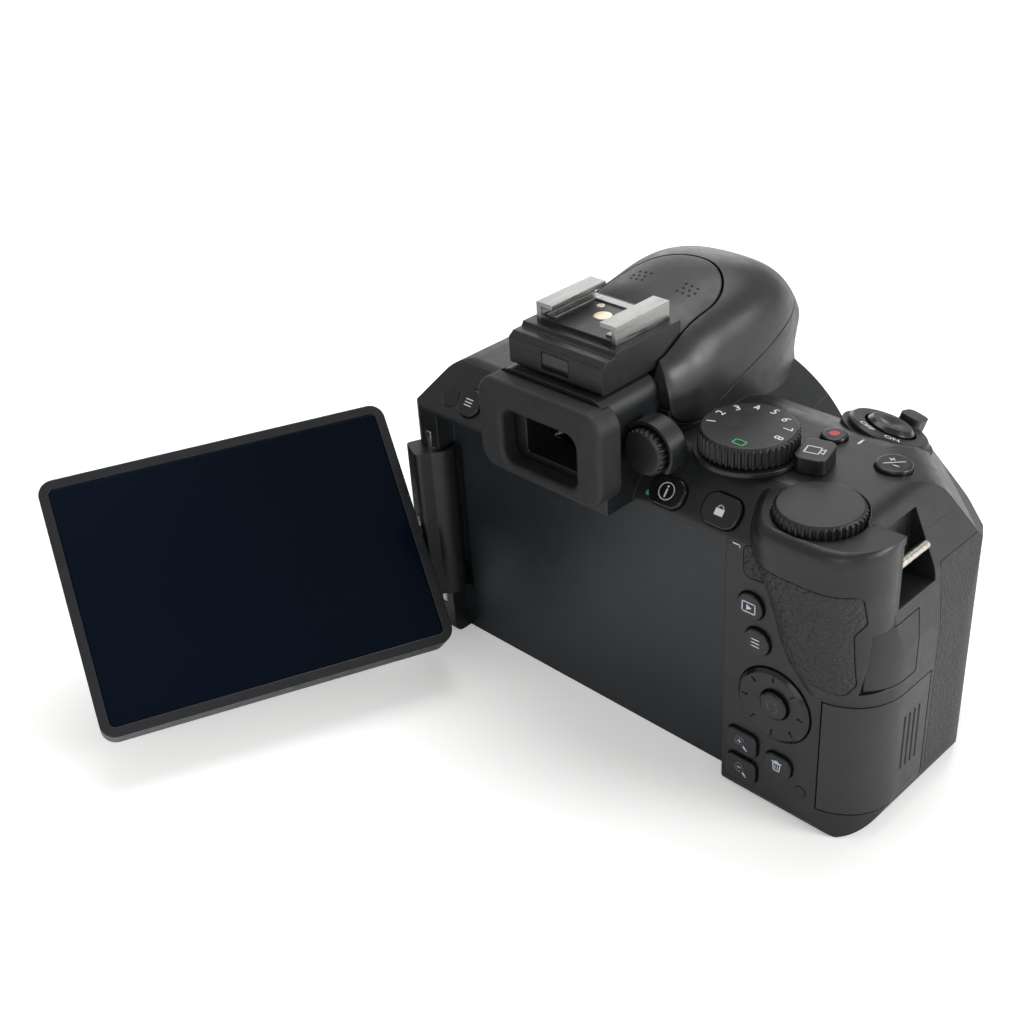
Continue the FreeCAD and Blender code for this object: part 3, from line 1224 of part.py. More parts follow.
# Small round windows: place across, height, radius and facing.
# Thumb rest sections: height, left edge, share of the full bulge.
THUMB = [(34.3, 56.6, 0.03), (39, 52.6, 0.3), (44, 50, 0.52), (51, 47.6, 0.72), (57, 44.6, 0.88),
         (63, 41.8, 0.98), (67.6, 40.4, 1), (69.6, 40.6, 0.9), (70.4, 41.4, 0.66)]
LAMPS = [(57, 8.7, 1.3, "rear"), (-41.2, 65.1, 2.3, "bevel"), (30.5, 64.5, 2.4, "front")]


def check():
    """Stop if any object failed or any piece is empty or broken."""
    for thing in doc.Objects:
        if {"Invalid", "Error"} & set(thing.State):
            raise RuntimeError(f"{thing.Name} did not compute: {thing.State}")
    for node in NODES:
        if node.Shape.isNull() or not node.Shape.isValid():
            raise RuntimeError(f"{node.Label} has no valid shape")


build()
doc.recompute()
check()
os.makedirs("parts", exist_ok=True)
for node in NODES:
    node.Shape.exportStep(os.path.join("parts", node.Label + ".step"))
print(len(NODES), "pieces")
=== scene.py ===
import math

import bpy
from mathutils import Matrix, Vector
from mathutils.bvhtree import BVHTree


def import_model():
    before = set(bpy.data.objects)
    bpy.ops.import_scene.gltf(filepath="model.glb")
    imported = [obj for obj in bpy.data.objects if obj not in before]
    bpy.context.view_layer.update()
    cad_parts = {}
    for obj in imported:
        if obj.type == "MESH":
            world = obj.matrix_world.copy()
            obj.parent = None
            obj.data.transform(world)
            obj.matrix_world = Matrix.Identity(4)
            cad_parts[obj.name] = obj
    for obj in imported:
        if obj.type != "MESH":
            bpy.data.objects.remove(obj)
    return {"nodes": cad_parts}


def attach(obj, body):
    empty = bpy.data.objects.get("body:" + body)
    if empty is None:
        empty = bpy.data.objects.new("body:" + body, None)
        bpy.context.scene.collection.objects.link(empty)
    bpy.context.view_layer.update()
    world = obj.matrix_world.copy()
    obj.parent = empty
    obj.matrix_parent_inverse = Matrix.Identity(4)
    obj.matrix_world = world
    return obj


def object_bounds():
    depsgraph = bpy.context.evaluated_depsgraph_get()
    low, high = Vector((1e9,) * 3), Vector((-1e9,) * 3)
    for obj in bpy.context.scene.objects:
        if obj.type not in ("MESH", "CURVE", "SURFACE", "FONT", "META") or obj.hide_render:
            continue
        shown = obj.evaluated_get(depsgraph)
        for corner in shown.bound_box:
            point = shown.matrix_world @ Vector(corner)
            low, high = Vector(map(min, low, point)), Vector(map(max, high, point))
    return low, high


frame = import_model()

CAD_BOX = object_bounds()
NODES = frame["nodes"]
MM = 0.001
PER_METRE = 1000

# The rear panel, and the radius that edges are shaded with, in millimetres.
REAR_Y = -27
EDGE = 0.35
# Width of a soft boundary between two finishes, in millimetres.
SOFT = 0.1
# The part of a noise's range that most of it lies in.
NOISE_LOW, NOISE_HIGH = 0.3, 0.7
# Scale of the noise that bends the pebbles' outlines, beside the pebbles' own.
BEND = 0.6
# Pebbles are bent by this share of their size.
PEBBLE_WARP = 0.4
# Width of the lines on metal, in millimetres.
BRUSH_GRAIN = 0.4


# ---- Finishes ------------------------------------------------------------------------------

class Finish:
    """A procedural finish in object space: one Principled shader and what drives it."""

    def __init__(self, name, colour, roughness, edge=EDGE, **constants):
        self.material = bpy.data.materials.new(name)
        self.material.use_nodes = True
        self.tree = self.material.node_tree
        self.shader = self.tree.nodes["Principled BSDF"]
        self.shader.inputs["Base Color"].default_value = (*colour, 1)
        self.shader.inputs["Roughness"].default_value = roughness
        for label, value in constants.items():
            self.shader.inputs[label.replace("_", " ")].default_value = value
        self.place = self.node("ShaderNodeTexCoord").outputs["Object"]
        self.last_relief = None
        if edge:
            rounded = self.node("ShaderNodeBevel", samples=6)
            rounded.inputs["Radius"].default_value = edge * MM
            self.last_relief = rounded.outputs["Normal"]
            self.link(self.last_relief, self.shader.inputs["Normal"])

    def node(self, kind, **settings):
        made = self.tree.nodes.new(kind)
        for label, value in settings.items():
            setattr(made, label, value)
        return made

    def link(self, source, target):
        self.tree.links.new(source, target)

    def noise(self, grain, detail=3.0, roughness=0.5, stretch=(1, 1, 1)):
        """Soft noise with features about grain millimetres wide."""
        made = self.node("ShaderNodeTexNoise")
        made.inputs["Scale"].default_value = PER_METRE / grain
        made.inputs["Detail"].default_value = detail
        made.inputs["Roughness"].default_value = roughness
        self.link(self.stretched(stretch), made.inputs["Vector"])
        return made.outputs["Fac"]

    def cells(self, grain):
        """Pebbles about grain millimetres apart."""
        bend = self.node("ShaderNodeTexNoise")
        bend.inputs["Scale"].default_value = BEND * PER_METRE / grain
        self.link(self.place, bend.inputs["Vector"])
        shift = self.node("ShaderNodeVectorMath", operation="SCALE")
        shift.inputs["Scale"].default_value = PEBBLE_WARP * grain * MM
        self.link(bend.outputs["Color"], shift.inputs[0])
        moved = self.node("ShaderNodeVectorMath", operation="ADD")
        self.link(self.place, moved.inputs[0])
        self.link(shift.outputs["Vector"], moved.inputs[1])
        made = self.node("ShaderNodeTexVoronoi", feature="F1")
        made.inputs["Scale"].default_value = PER_METRE / grain
        self.link(moved.outputs["Vector"], made.inputs["Vector"])
        return made.outputs["Distance"]

    def stretched(self, factors):
        if tuple(factors) == (1, 1, 1):
            return self.place
        made = self.node("ShaderNodeMapping")
        made.inputs["Scale"].default_value = factors
        self.link(self.place, made.inputs["Vector"])
        return made.outputs["Vector"]

    def math(self, operation, first, second):
        made = self.node("ShaderNodeMath", operation=operation)
        for socket, value in zip(made.inputs, (first, second)):
            if isinstance(value, (int, float)):
                socket.default_value = value
            else:
                self.link(value, socket)
        return made.outputs["Value"]

    def coordinate(self, axis):
        made = self.node("ShaderNodeSeparateXYZ")
        self.link(self.place, made.inputs["Vector"])
        return made.outputs[axis]

    def between(self, axis, low, high):
        """1 where the coordinate lies from low to high millimetres, with a soft edge."""
        value = self.coordinate(axis)
        rise = self.ramp_value(value, low - SOFT, low + SOFT)
        fall = self.ramp_value(value, high + SOFT, high - SOFT)
        return self.math("MULTIPLY", rise, fall)

    def ramp_value(self, value, start, end):
        """0 at the start and 1 at the end, both in millimetres."""
        made = self.node("ShaderNodeMapRange")
        made.inputs["From Min"].default_value = start * MM
        made.inputs["From Max"].default_value = end * MM
        self.link(value, made.inputs["Value"])
        return made.outputs["Result"]

    def blend(self, factor, dark, light):
        """A colour that goes from dark to light as a noise rises."""
        made = self.node("ShaderNodeValToRGB")
        first, second = made.color_ramp.elements
        first.position, second.position = NOISE_LOW, NOISE_HIGH
        first.color, second.color = (*dark, 1), (*light, 1)
        self.link(factor, made.inputs["Fac"])
        return made.outputs["Color"]

    def choose(self, factor, first, second):
        """The first colour where factor is 0, and the second where it is 1."""
        made = self.node("ShaderNodeMix", data_type="RGBA")
        self.link(factor, made.inputs["Factor"])
        for socket, value in ((made.inputs[6], first), (made.inputs[7], second)):
            if isinstance(value, tuple):
                socket.default_value = (*value, 1)
            else:
                self.link(value, socket)
        return made.outputs[2]

    def colour(self, source):
        self.link(source, self.shader.inputs["Base Color"])
        return self

    def gloss(self, factor, low, high, start=NOISE_LOW, end=NOISE_HIGH):
        """Roughness from low to high as the factor goes from start to end."""
        made = self.node("ShaderNodeMapRange")
        made.inputs["From Min"].default_value = start
        made.inputs["From Max"].default_value = end
        made.inputs["To Min"].default_value = low
        made.inputs["To Max"].default_value = high
        self.link(factor, made.inputs["Value"])
        self.link(made.outputs["Result"], self.shader.inputs["Roughness"])
        return self

    def relief(self, height, depth):
        """Raise the surface by the height times depth millimetres, on top of earlier relief."""
        made = self.node("ShaderNodeBump")
        made.inputs["Distance"].default_value = depth * MM
        made.inputs["Strength"].default_value = 1.0
        self.link(height, made.inputs["Height"])
        if self.last_relief is not None:
            self.link(self.last_relief, made.inputs["Normal"])
        self.link(made.outputs["Normal"], self.shader.inputs["Normal"])
        self.last_relief = made.outputs["Normal"]
        return self


def moulded(name, dark, light, rough, grain, depth):
    """Spark-eroded plastic: fine grain, faint mottling and rubbed patches."""
    made = Finish(name, dark, rough[0])
    mottle = made.noise(9, 4)
    made.colour(made.blend(mottle, dark, light))
    made.gloss(made.noise(2.5, 4), *rough)
    made.relief(made.noise(grain, 2), depth)
    return made.material


SHELL_DARK, SHELL_LIGHT = (0.0075, 0.0085, 0.0095), (0.012, 0.013, 0.014)
FLOOR_DARK, FLOOR_LIGHT = (0.010, 0.0145, 0.0175), (0.013, 0.0175, 0.0205)
# Where the display's painted sheen starts and is full, in millimetres at the rest pose: a
# lighter colour standing in for a reflection.
PAINTED_SHEEN_X, PAINTED_SHEEN_Z = (-70, -125), (40, 85)
# The recess behind the screen, whose floor is smooth, in millimetres.
RECESS = {"X": (-44, 37.6), "Z": (0.2, 60.6), "Y": (-23.5, 10)}


def rear_shell():
    """Grained frame round a smooth recess."""
    made = Finish("rear_shell", SHELL_DARK, 0.42)
    across, tall, deep = (made.between(axis, *span) for axis, span in RECESS.items())
    inside = made.math("MULTIPLY", made.math("MULTIPLY", across, tall), deep)
    mottle = made.noise(9, 4)
    frame_colour = made.blend(mottle, SHELL_DARK, SHELL_LIGHT)
    floor_colour = made.blend(mottle, FLOOR_DARK, FLOOR_LIGHT)
    made.colour(made.choose(inside, frame_colour, floor_colour))
    made.gloss(made.noise(2.0, 4), 0.32, 0.42)
    outside = made.math("SUBTRACT", 1.0, inside)
    made.relief(made.math("MULTIPLY", made.noise(0.3, 2), outside), 0.03)
    return made.material


def leather(name, colour, grain, depth, rough):
    """Pebbled leather, with a finer grain over the pebbles."""
    made = Finish(name, colour, rough[0])
    pebbles = made.cells(grain)
    mottle = made.noise(6, 3)
    lighter = tuple(c * 1.35 for c in colour)
    made.colour(made.blend(mottle, colour, lighter))
    made.gloss(pebbles, rough[0], rough[1], 0.1, 0.5)
    made.relief(made.math("SUBTRACT", 1.0, pebbles), depth)
    made.relief(made.noise(grain * 0.35, 2), depth * 0.3)
    return made.material


def metal(name, colour, rough, brushed=(1, 1, 1), depth=0.004):
    """Plain metal, or metal brushed along the axis whose factor in brushed is small."""
    made = Finish(name, colour, rough, Metallic=1.0)
    lines = made.noise(BRUSH_GRAIN, 3, stretch=brushed)
    made.gloss(lines, rough * 0.75, rough * 1.35)
    made.relief(lines, depth)
    lighter = tuple(min(1.0, c * 1.12) for c in colour)
    made.colour(made.blend(made.noise(5, 3), colour, lighter))
    return made.material


def display_glass():
    """Dark coated glass whose colour lightens towards its far upper corner: a painted sheen,
    standing in for a reflection.
    """
    made = Finish("display_glass", (0.0016, 0.0042, 0.0105), 0.14)
    made.shader.inputs["Specular IOR Level"].default_value = 0.07
    # Painted sheen: a lighter base colour towards the far upper corner stands in for a
    # reflection on the glass.
    across = made.ramp_value(made.coordinate("X"), *PAINTED_SHEEN_X)
    along = made.ramp_value(made.coordinate("Z"), *PAINTED_SHEEN_Z)
    painted_sheen = made.math("MULTIPLY", across, along)
    dark = made.blend(made.noise(60, 2), (0.0013, 0.0038, 0.0098),
                      (0.0020, 0.0048, 0.0115))
    made.colour(made.choose(painted_sheen, dark, (0.010, 0.0125, 0.020)))
    made.gloss(made.noise(14, 5, 0.6), 0.10, 0.16)
    return made.material


def clear_glass(name, tint, rough=0.02, cover=1.0):
    """Glass that lets the share cover of the light through."""
    made = Finish(name, tint, rough, Transmission_Weight=cover, IOR=1.5)
    made.gloss(made.noise(3, 3), rough, rough * 2 + 0.01)
    return made.material


def finishes():
    """Each CAD node's finish."""
    shell = moulded("shell", SHELL_DARK, SHELL_LIGHT, (0.32, 0.44), 0.34, 0.03)
    smooth = moulded("shell_smooth", (0.016, 0.017, 0.017), (0.020, 0.021, 0.021),
                     (0.32, 0.42), 0.24, 0.012)
    control = moulded("control_plastic", (0.008, 0.008, 0.009), (0.013, 0.013, 0.014),
                      (0.3, 0.42), 0.3, 0.02)
    gloss = moulded("button_gloss", (0.006, 0.006, 0.007), (0.010, 0.010, 0.011),
                    (0.16, 0.26), 0.6, 0.008)
    rubber = moulded("eyecup_rubber", (0.010, 0.010, 0.011), (0.015, 0.015, 0.016),
                     (0.55, 0.68), 0.15, 0.01)
    cover_rubber = moulded("port_rubber", (0.016, 0.016, 0.016), (0.021, 0.021, 0.021),
                           (0.42, 0.52), 0.3, 0.01)
    bezel = moulded("bezel_plastic", (0.008, 0.009, 0.011), (0.012, 0.013, 0.015),
                    (0.24, 0.34), 0.3, 0.006)
    grip = leather("grip_leather", (0.018, 0.017, 0.017), 0.75, 0.2, (0.45, 0.6))
    thumb = leather("thumb_leather", (0.012, 0.012, 0.012), 0.9, 0.4, (0.28, 0.42))
    steel = metal("bright_steel", (0.36, 0.36, 0.35), 0.3, (1, 0.06, 1))
    plain_steel = metal("mount_steel", (0.62, 0.62, 0.61), 0.26)
    pin_steel = metal("pin_steel", (0.62, 0.58, 0.52), 0.3, (0.1, 1, 1))
    gold = metal("gold_contact", (0.78, 0.66, 0.50), 0.3)
    glass = clear_glass("clear_glass", (0.9, 0.93, 0.95))
    lamp = moulded("lamp_window", (0.006, 0.004, 0.006), (0.010, 0.006, 0.008),
                   (0.08, 0.14), 1.2, 0.001)
    frosted = clear_glass("flash_window", (0.95, 0.95, 0.93), 0.25, 0.9)
    chamber = moulded("chamber_black", (0.006, 0.006, 0.006), (0.010, 0.010, 0.010),
                      (0.7, 0.85), 0.3, 0.04)
    mirror = metal("mirror_face", (0.88, 0.9, 0.9), 0.04, depth=0.0)
    board = moulded("circuit_board", (0.01, 0.05, 0.02), (0.02, 0.09, 0.035),
                    (0.35, 0.5), 0.5, 0.02)
    sensor = moulded("sensor_glass", (0.02, 0.05, 0.05), (0.05, 0.03, 0.08),
                     (0.05, 0.12), 2, 0.002)
    battery = moulded("battery_case", (0.03, 0.03, 0.032), (0.045, 0.045, 0.047),
                      (0.45, 0.55), 0.4, 0.015)
    table = {
        "top_cover": shell, "front_cover": shell, "bottom_cover": shell, "battery_door": shell,
        "rear_cover": rear_shell(), "flash_lid": smooth, "card_door": smooth,
        "hinge_block": control, "hinge_pins": plain_steel, "screen_housing": control,
        "screen_bezel": bezel, "screen_display": display_glass(),
        "mode_dial": control, "command_dial": control, "diopter_dial": control,
        "live_view_lever": control, "power_switch": control, "shutter_button": gloss,
        "multi_selector": gloss, "ok_button": gloss,
        "eyecup": rubber, "eyepiece_lens": glass, "signal_windows": lamp,
        "flash_head": battery, "flash_window": frosted,
        "shoe_block": control, "shoe_rails": steel, "shoe_contacts": gold, "shoe_spring": steel,
        "mirror_box": chamber, "lens_mount_ring": plain_steel, "mount_screws": plain_steel,
        "reflex_mirror": mirror, "mirror_holder": chamber, "focusing_screen": frosted,
        "finder_prism": glass, "shutter_unit": chamber, "image_sensor": sensor,
        "main_board": board, "battery": battery, "memory_card": battery,
        "tripod_socket": plain_steel, "strap_bars": pin_steel, "grip_rubber": grip,
        "thumb_rubber": thumb, "video_port_cover": cover_rubber, "left_port_cover": cover_rubber,
    }
    for name in NODES:
        if name.endswith("_button") and name not in table:
            table[name] = gloss
    return table


def dress(node, material):
    mesh = node.data
    mesh.materials.clear()
    mesh.materials.append(material)


# ---- Printed marks -------------------------------------------------------------------------

# Usual stroke width, paint thickness and a mark's place above its face, in millimetres.
STROKE, FILM, LIFT = 0.22, 0.04, 0.03
DOT_SIDES = 24
ARC_STEP = 12
# A font's size for letters one unit high.
LETTER = 1.38


def at(x, deep, up):
    """A place in metres from millimetres, with depth taken from the rear panel."""
    return Vector((x, REAR_Y + deep, up)) * MM


class Plane:
    """A flat face: a point on it, its reading direction and its upward direction."""

    def __init__(self, point, right, up):
        self.point = point
        self.right, self.up = Vector(right).normalized(), Vector(up).normalized()
        self.normal = self.right.cross(self.up)

    def raised(self, out):
        return Plane(self.point + self.normal * out * MM, self.right, self.up)

    def turned(self, degrees):
        angle = math.radians(degrees)
        right = self.right * math.cos(angle) + self.up * math.sin(angle)
        return Plane(self.point, right, self.normal.cross(right))


class Print:
    """A thin film of paint built from strokes, dots, filled outlines and characters."""

    def __init__(self, name, plane, body, material):
        self.name, self.plane = name, plane
        self.body, self.material = body, material
        self.verts, self.faces = [], []

    def on(self, plane):
        self.plane = plane
        return self

    def spot(self, x, y):
        return self.plane.point + (self.plane.right * x + self.plane.up * y) * MM

    def fill(self, points):
        first = len(self.verts)
        self.verts += [self.spot(x, y) for x, y in points]
        self.faces.append(tuple(range(first, len(self.verts))))
        return self

    def dot(self, x, y, radius):
        turn = [math.radians(360.0 * n / DOT_SIDES) for n in range(DOT_SIDES)]
        return self.fill([(x + radius * math.cos(a), y + radius * math.sin(a)) for a in turn])

    def line(self, points, width=STROKE, closed=False):
        """Straight strokes from point to point, with round ends."""
        ends = list(points) + ([points[0]] if closed else [])
        for (x0, y0), (x1, y1) in zip(ends, ends[1:]):
            long = math.hypot(x1 - x0, y1 - y0) or 1
            dx, dy = (y0 - y1) / long * width / 2, (x1 - x0) / long * width / 2
            self.fill([(x0 - dx, y0 - dy), (x1 - dx, y1 - dy),
                       (x1 + dx, y1 + dy), (x0 + dx, y0 + dy)])
        for x, y in points:
            self.dot(x, y, width / 2)
        return self

    def ring(self, x, y, radius, width=STROKE, start=0.0, end=360.0):
        """A ring, or an arc between two angles in degrees."""
        steps = max(6, round((end - start) / ARC_STEP))
        arc = [math.radians(start + (end - start) * n / steps) for n in range(steps + 1)]
        points = [(x + radius * math.cos(a), y + radius * math.sin(a)) for a in arc]
        return self.line(points, width)

    def bars(self, half, rise):
        """Three level strokes, one above another."""
        for y in (rise, 0, -rise):
            self.line([(-half, y), (half, y)])
        return self

    def box(self, left, low, right, high, width):
        """The outline of a rectangle."""
        corners = [(left, low), (right, low), (right, high), (left, high)]
        return self.line(corners, width, True)

    def words(self, text, height, x=0.0, y=0.0, degrees=0.0):
        """Characters centred on a point, as generic as the numbers on a dial."""
        curve = bpy.data.curves.new("words", "FONT")
        curve.body = text
        curve.size = height * LETTER
        curve.align_x = "CENTER"
        curve.align_y = "CENTER"
        holder = bpy.data.objects.new("words", curve)
        mesh = bpy.data.meshes.new_from_object(holder)
        cos, sin = math.cos(math.radians(degrees)), math.sin(math.radians(degrees))
        first = len(self.verts)
        for vertex in mesh.vertices:
            u, v = vertex.co.x, vertex.co.y
            self.verts.append(self.spot(x + u * cos - v * sin, y + u * sin + v * cos))
        self.faces += [tuple(first + i for i in face.vertices) for face in mesh.polygons]
        bpy.data.objects.remove(holder)
        bpy.data.curves.remove(curve)
        bpy.data.meshes.remove(mesh)
        return self

    def make(self):
        mesh = bpy.data.meshes.new(self.name)
        mesh.from_pydata(self.verts, [], self.faces)
        mesh.materials.append(self.material)
        piece = bpy.data.objects.new(self.name, mesh)
        bpy.context.scene.collection.objects.link(piece)
        film = piece.modifiers.new("film", "SOLIDIFY")
        film.thickness = FILM * MM
        film.offset = 1
        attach(piece, self.body)
        return piece


def paint(name, colour, rough=0.45):
    made = Finish(name, colour, rough, edge=0)
    made.colour(made.blend(made.noise(0.6, 3), tuple(c * 0.88 for c in colour), colour))
    made.relief(made.noise(0.2, 2), 0.004)
    return made.material


REAR = ((1, 0, 0), (0, 0, 1))
TOP = ((1, 0, 0), (0, 1, 0))
BEVEL = ((1, 0, 0), (0, 0.65, 0.76))
# Where the bevel above the rear panel starts, and how far it leans in for each step up.
BEVEL_FOOT, BEVEL_LEAN = 62, 0.85

# Where each marked button of the rear stands: across and up, in millimetres.
BUTTONS = {
    "playback": (43.8, 48.4), "quick_menu": (45.6, 40.8), "delete": (51.8, 13),
    "zoom_in": (42.9, 14.2), "zoom_out": (42.9, 7.2),
    "info": (21.8, 64.4), "lock": (34.6, 64.9), "menu": (-34.9, 65.3),
}
SELECTOR = (50, 27.3)
# How far a button's mark, a selector ring's tick and the central button's ring stand out.
CAP, TICK_OUT, OK_OUT = 0.93, 0.84, 0.83
TICKS = 8

# The mode dial's axis: across and in from the rear panel. The heights of the faces above.
DIAL = (31.9, 13.9)
DIAL_TOP, LEVER_TOP, DECK = 77.7, 75.35, 72
NUMBERS_RADIUS, ICON_RADIUS = 7.3, 7.1
FIRST_NUMBER, NUMBER_STEP, ICON_TURN = 205, 30, -68

# The power switch: its tilted axis, its centre, its rim above that and its words' radius.
SWITCH_WAY = (0.2, 0.3, 0.933)
SWITCH_SEAT, SWITCH_RIM, SWITCH_RADIUS = (45.5, 41.8, 68.6), 1.52, 6.9


def on_bevel(x, up, out=LIFT):
    return Plane(at(x, (up - BEVEL_FOOT) * BEVEL_LEAN, up), *BEVEL).raised(out)


def on_rear(x, up, out=LIFT):
    return Plane(at(x, 0, up), *REAR).raised(out)


def on_top(x, deep, up, out=LIFT):
    return Plane(at(x, deep, up), *TOP).raised(out)


def button_print(name, face, material):
    """An empty mark on a rear button's cap."""
    return Print("mark_" + name, face(*BUTTONS[name], CAP), name + "_button", material)


def rear_marks(white, blue, green, black):
    """Marks on the rear panel, the bevel and their buttons."""
    play = button_print("playback", on_rear, blue).box(-1.5, -1.1, 1.5, 1.1, 0.24)
    play.fill([(-0.5, -0.65), (0.75, 0), (-0.5, 0.65)]).make()
    button_print("quick_menu", on_rear, white).bars(0.9, 0.8).make()
    for name in ("zoom_in", "zoom_out"):
        lens = button_print(name, on_rear, blue).ring(-0.3, 0.3, 1.05, 0.26)
        lens.line([(0.5, -0.5), (1.4, -1.4)], 0.4).line([(-0.8, 0.3), (0.2, 0.3)], 0.2)
        if name == "zoom_in":
            lens.line([(-0.3, -0.2), (-0.3, 0.8)], 0.2)
        lens.make()
    bin_mark = button_print("delete", on_rear, blue)
    bin_mark.line([(-0.9, 0.7), (-0.65, -1.1), (0.65, -1.1), (0.9, 0.7)], closed=True)
    bin_mark.line([(-1.15, 1.0), (1.15, 1.0)], 0.24).line([(-0.35, 1.35), (0.35, 1.35)])
    bin_mark.line([(-0.3, 0.3), (-0.25, -0.7)], 0.16).line([(0.3, 0.3), (0.25, -0.7)], 0.16)
    bin_mark.make()
    info = button_print("info", on_bevel, white).dot(0, 1.0, 0.22)
    info.line([(0, 0.4), (0, -1.1)], 0.36).ring(0, 0, 1.75, 0.2).make()
    lock = button_print("lock", on_bevel, white)
    lock.fill([(-1.0, -1.2), (1.0, -1.2), (1.0, 0.2), (-1.0, 0.2)])
    lock.ring(0, 0.2, 0.66, 0.26, 0, 180).make()
    button_print("menu", on_bevel, white).bars(1.0, 0.7).make()
    key = Print("mark_key", on_rear(39.4, 60.9), "camera_body", white)
    key.ring(-1.0, 0, 0.55, 0.24).line([(-0.45, 0), (1.4, 0)], 0.24)
    key.line([(1.3, 0), (1.3, -0.5)], 0.24).make()
    power_lamp = Print("mark_power_lamp", on_bevel(17.4, 63.2), "camera_body", green)
    power_lamp.dot(0, 0, 0.55).make()
    selector = on_rear(*SELECTOR, TICK_OUT)
    ticks = Print("mark_selector_ticks", selector, "multi_selector", black)
    for turn in range(TICKS):
        angle = math.radians(360 // TICKS * turn)
        ticks.line([(r * math.cos(angle), r * math.sin(angle)) for r in (6.0, 7.1)], 0.34)
    ticks.make()
    ok_mark = Print("mark_ok", on_rear(*SELECTOR, OK_OUT), "ok_button", white)
    ok_mark.ring(0, 0, 1.15, 0.34).make()


def top_marks(white, green, red):
    """Marks on the mode dial, the lever and the buttons on the top deck."""
    dial_face = on_top(*DIAL, DIAL_TOP)
    dial = Print("mark_mode_numbers", dial_face, "mode_dial", white)
    for n, text in enumerate("12345678"):
        turn = FIRST_NUMBER - NUMBER_STEP * n
        angle = math.radians(turn)
        x, y = NUMBERS_RADIUS * math.cos(angle), NUMBERS_RADIUS * math.sin(angle)
        dial.words(text, 2.0, x, y, turn - 90)
    dial.make()
    scene_icon = Print("mark_mode_icon", dial_face, "mode_dial", green)
    angle = math.radians(ICON_TURN)
    x, y = ICON_RADIUS * math.cos(angle), ICON_RADIUS * math.sin(angle)
    scene_icon.box(x - 1.2, y - 0.8, x + 1.2, y + 0.8, 0.26).ring(x, y, 0.5).make()
    lever_face = on_top(*DIAL, LEVER_TOP).turned(15)
    lever = Print("mark_lever", lever_face, "live_view_lever", white)
    lever.box(11.6, -1.6, 14.4, 0.9, 0.24)
    lever.line([(14.4, -0.2), (15.3, 0.6), (15.3, -1.3), (14.4, -0.6)]).make()
    exposure = Print("mark_exposure", on_top(56.6, 26, DECK, CAP), "exposure_button", white)
    exposure.line([(-1.5, -1.5), (1.5, 1.5)], 0.2).line([(-1.5, 0.8), (-0.3, 0.8)], 0.24)
    exposure.line([(-0.9, 0.2), (-0.9, 1.4)], 0.24).line([(0.3, -0.9), (1.5, -0.9)], 0.24)
    exposure.make()
    record = Print("mark_record", on_top(41.6, 28.6, DECK, CAP), "record_button", red)
    record.dot(0, 0, 1.05).make()


def switch_marks(white):
    """ON and OFF on the tilted ring, and the index beside it."""
    way = Vector(SWITCH_WAY).normalized()
    right = Vector((1, 0, 0)) - way * way.x
    seat = Plane(at(*SWITCH_SEAT), right, way.cross(right)).raised(SWITCH_RIM)
    for text, turn in (("OFF", 256), ("ON", 304)):
        angle = math.radians(turn)
        x, y = SWITCH_RADIUS * math.cos(angle), SWITCH_RADIUS * math.sin(angle)
        word = Print("mark_" + text.lower(), seat, "power_switch", white)
        word.words(text, 1.5, x, y, turn + 90).make()
    index = Print("mark_switch_index", on_top(46.6, 30.2, DECK), "camera_body", white)
    index.line([(0, -0.9), (0, 0.9)], 0.45).make()


def side_marks(black):
    """The four grip lines at the card door's edge, drawn as dark lines: painted shade standing
    in for their relief.
    """
    count, first, pitch, half, width = 4, -2.4, 1.7, 6.4, 0.55
    side = Plane(at(71, 16, 20.5), (0, 1, 0), (0, 0, 1))
    lines = Print("card_door_lines", side, "card_door", black)
    for step in range(count):
        across = first + pitch * step
        # Each dark line is painted shade in place of a grip line's relief.
        lines.line([(across, -half), (across, half)], width)
    lines.make()


def microphones(black):
    """Two clusters of black dots on the island ahead of the shoe: painted shade standing in for
    small microphone holes.
    """
    inner, nearest, pitch, stagger, radius = 4.6, 25.6, 1.5, 0.5, 0.3
    above, clear = 120, 0.01
    mesh = NODES["shoe_block"].data
    surface = BVHTree.FromPolygons([vertex.co for vertex in mesh.vertices],
                                   [face.vertices for face in mesh.polygons])
    # Each black dot is painted shade in place of a microphone hole.
    hole_shade = Print("painted_microphone_hole_shade", on_top(0, 28, 95), "camera_body", black)
    for side in (-1, 1):
        for row in range(3):
            for step in range(3):
                x = side * (inner + pitch * step + stagger * (row % 2))
                start = at(x, nearest + pitch * row, above)
                hit, normal, _, _ = surface.ray_cast(start, Vector((0, 0, -1)))
                if hit is None:
                    continue
                right = Vector((0, 1, 0)).cross(normal)
                hole_shade.on(Plane(hit, right, normal.cross(right)).raised(clear))
                hole_shade.dot(0, 0, radius)
    hole_shade.make()


def marks():
    white = paint("paint_white", (0.74, 0.75, 0.76))
    blue = paint("paint_blue", (0.62, 0.70, 0.80))
    green = paint("paint_green", (0.10, 0.42, 0.16))
    red = paint("paint_red", (0.46, 0.02, 0.015), 0.3)
    # Black paint for the selector's ticks, and painted shade for the microphone holes and the
    # card door's grip lines.
    black = paint("black_paint_and_painted_shade", (0.002, 0.002, 0.0025), 0.8)
    rear_marks(white, blue, green, black)
    top_marks(white, green, red)
    switch_marks(white)
    side_marks(black)
    microphones(black)


# ---- Stage, light and camera ---------------------------------------------------------------

# Solved from the photograph's straight edges: place in millimetres, then two directions.
CAMERA_AT = Vector((177.88, -214.23, 212.06)) * MM
CAMERA_RIGHT = Vector((0.710, 0.702, -0.059))
CAMERA_UP = Vector((-0.333, 0.409, 0.850))
LENS, FILM_WIDTH = 51.05, 36
# How strongly the world lights, and how bright it looks.
WORLD_LIGHT, WORLD_SEEN = 0.46, 1.0
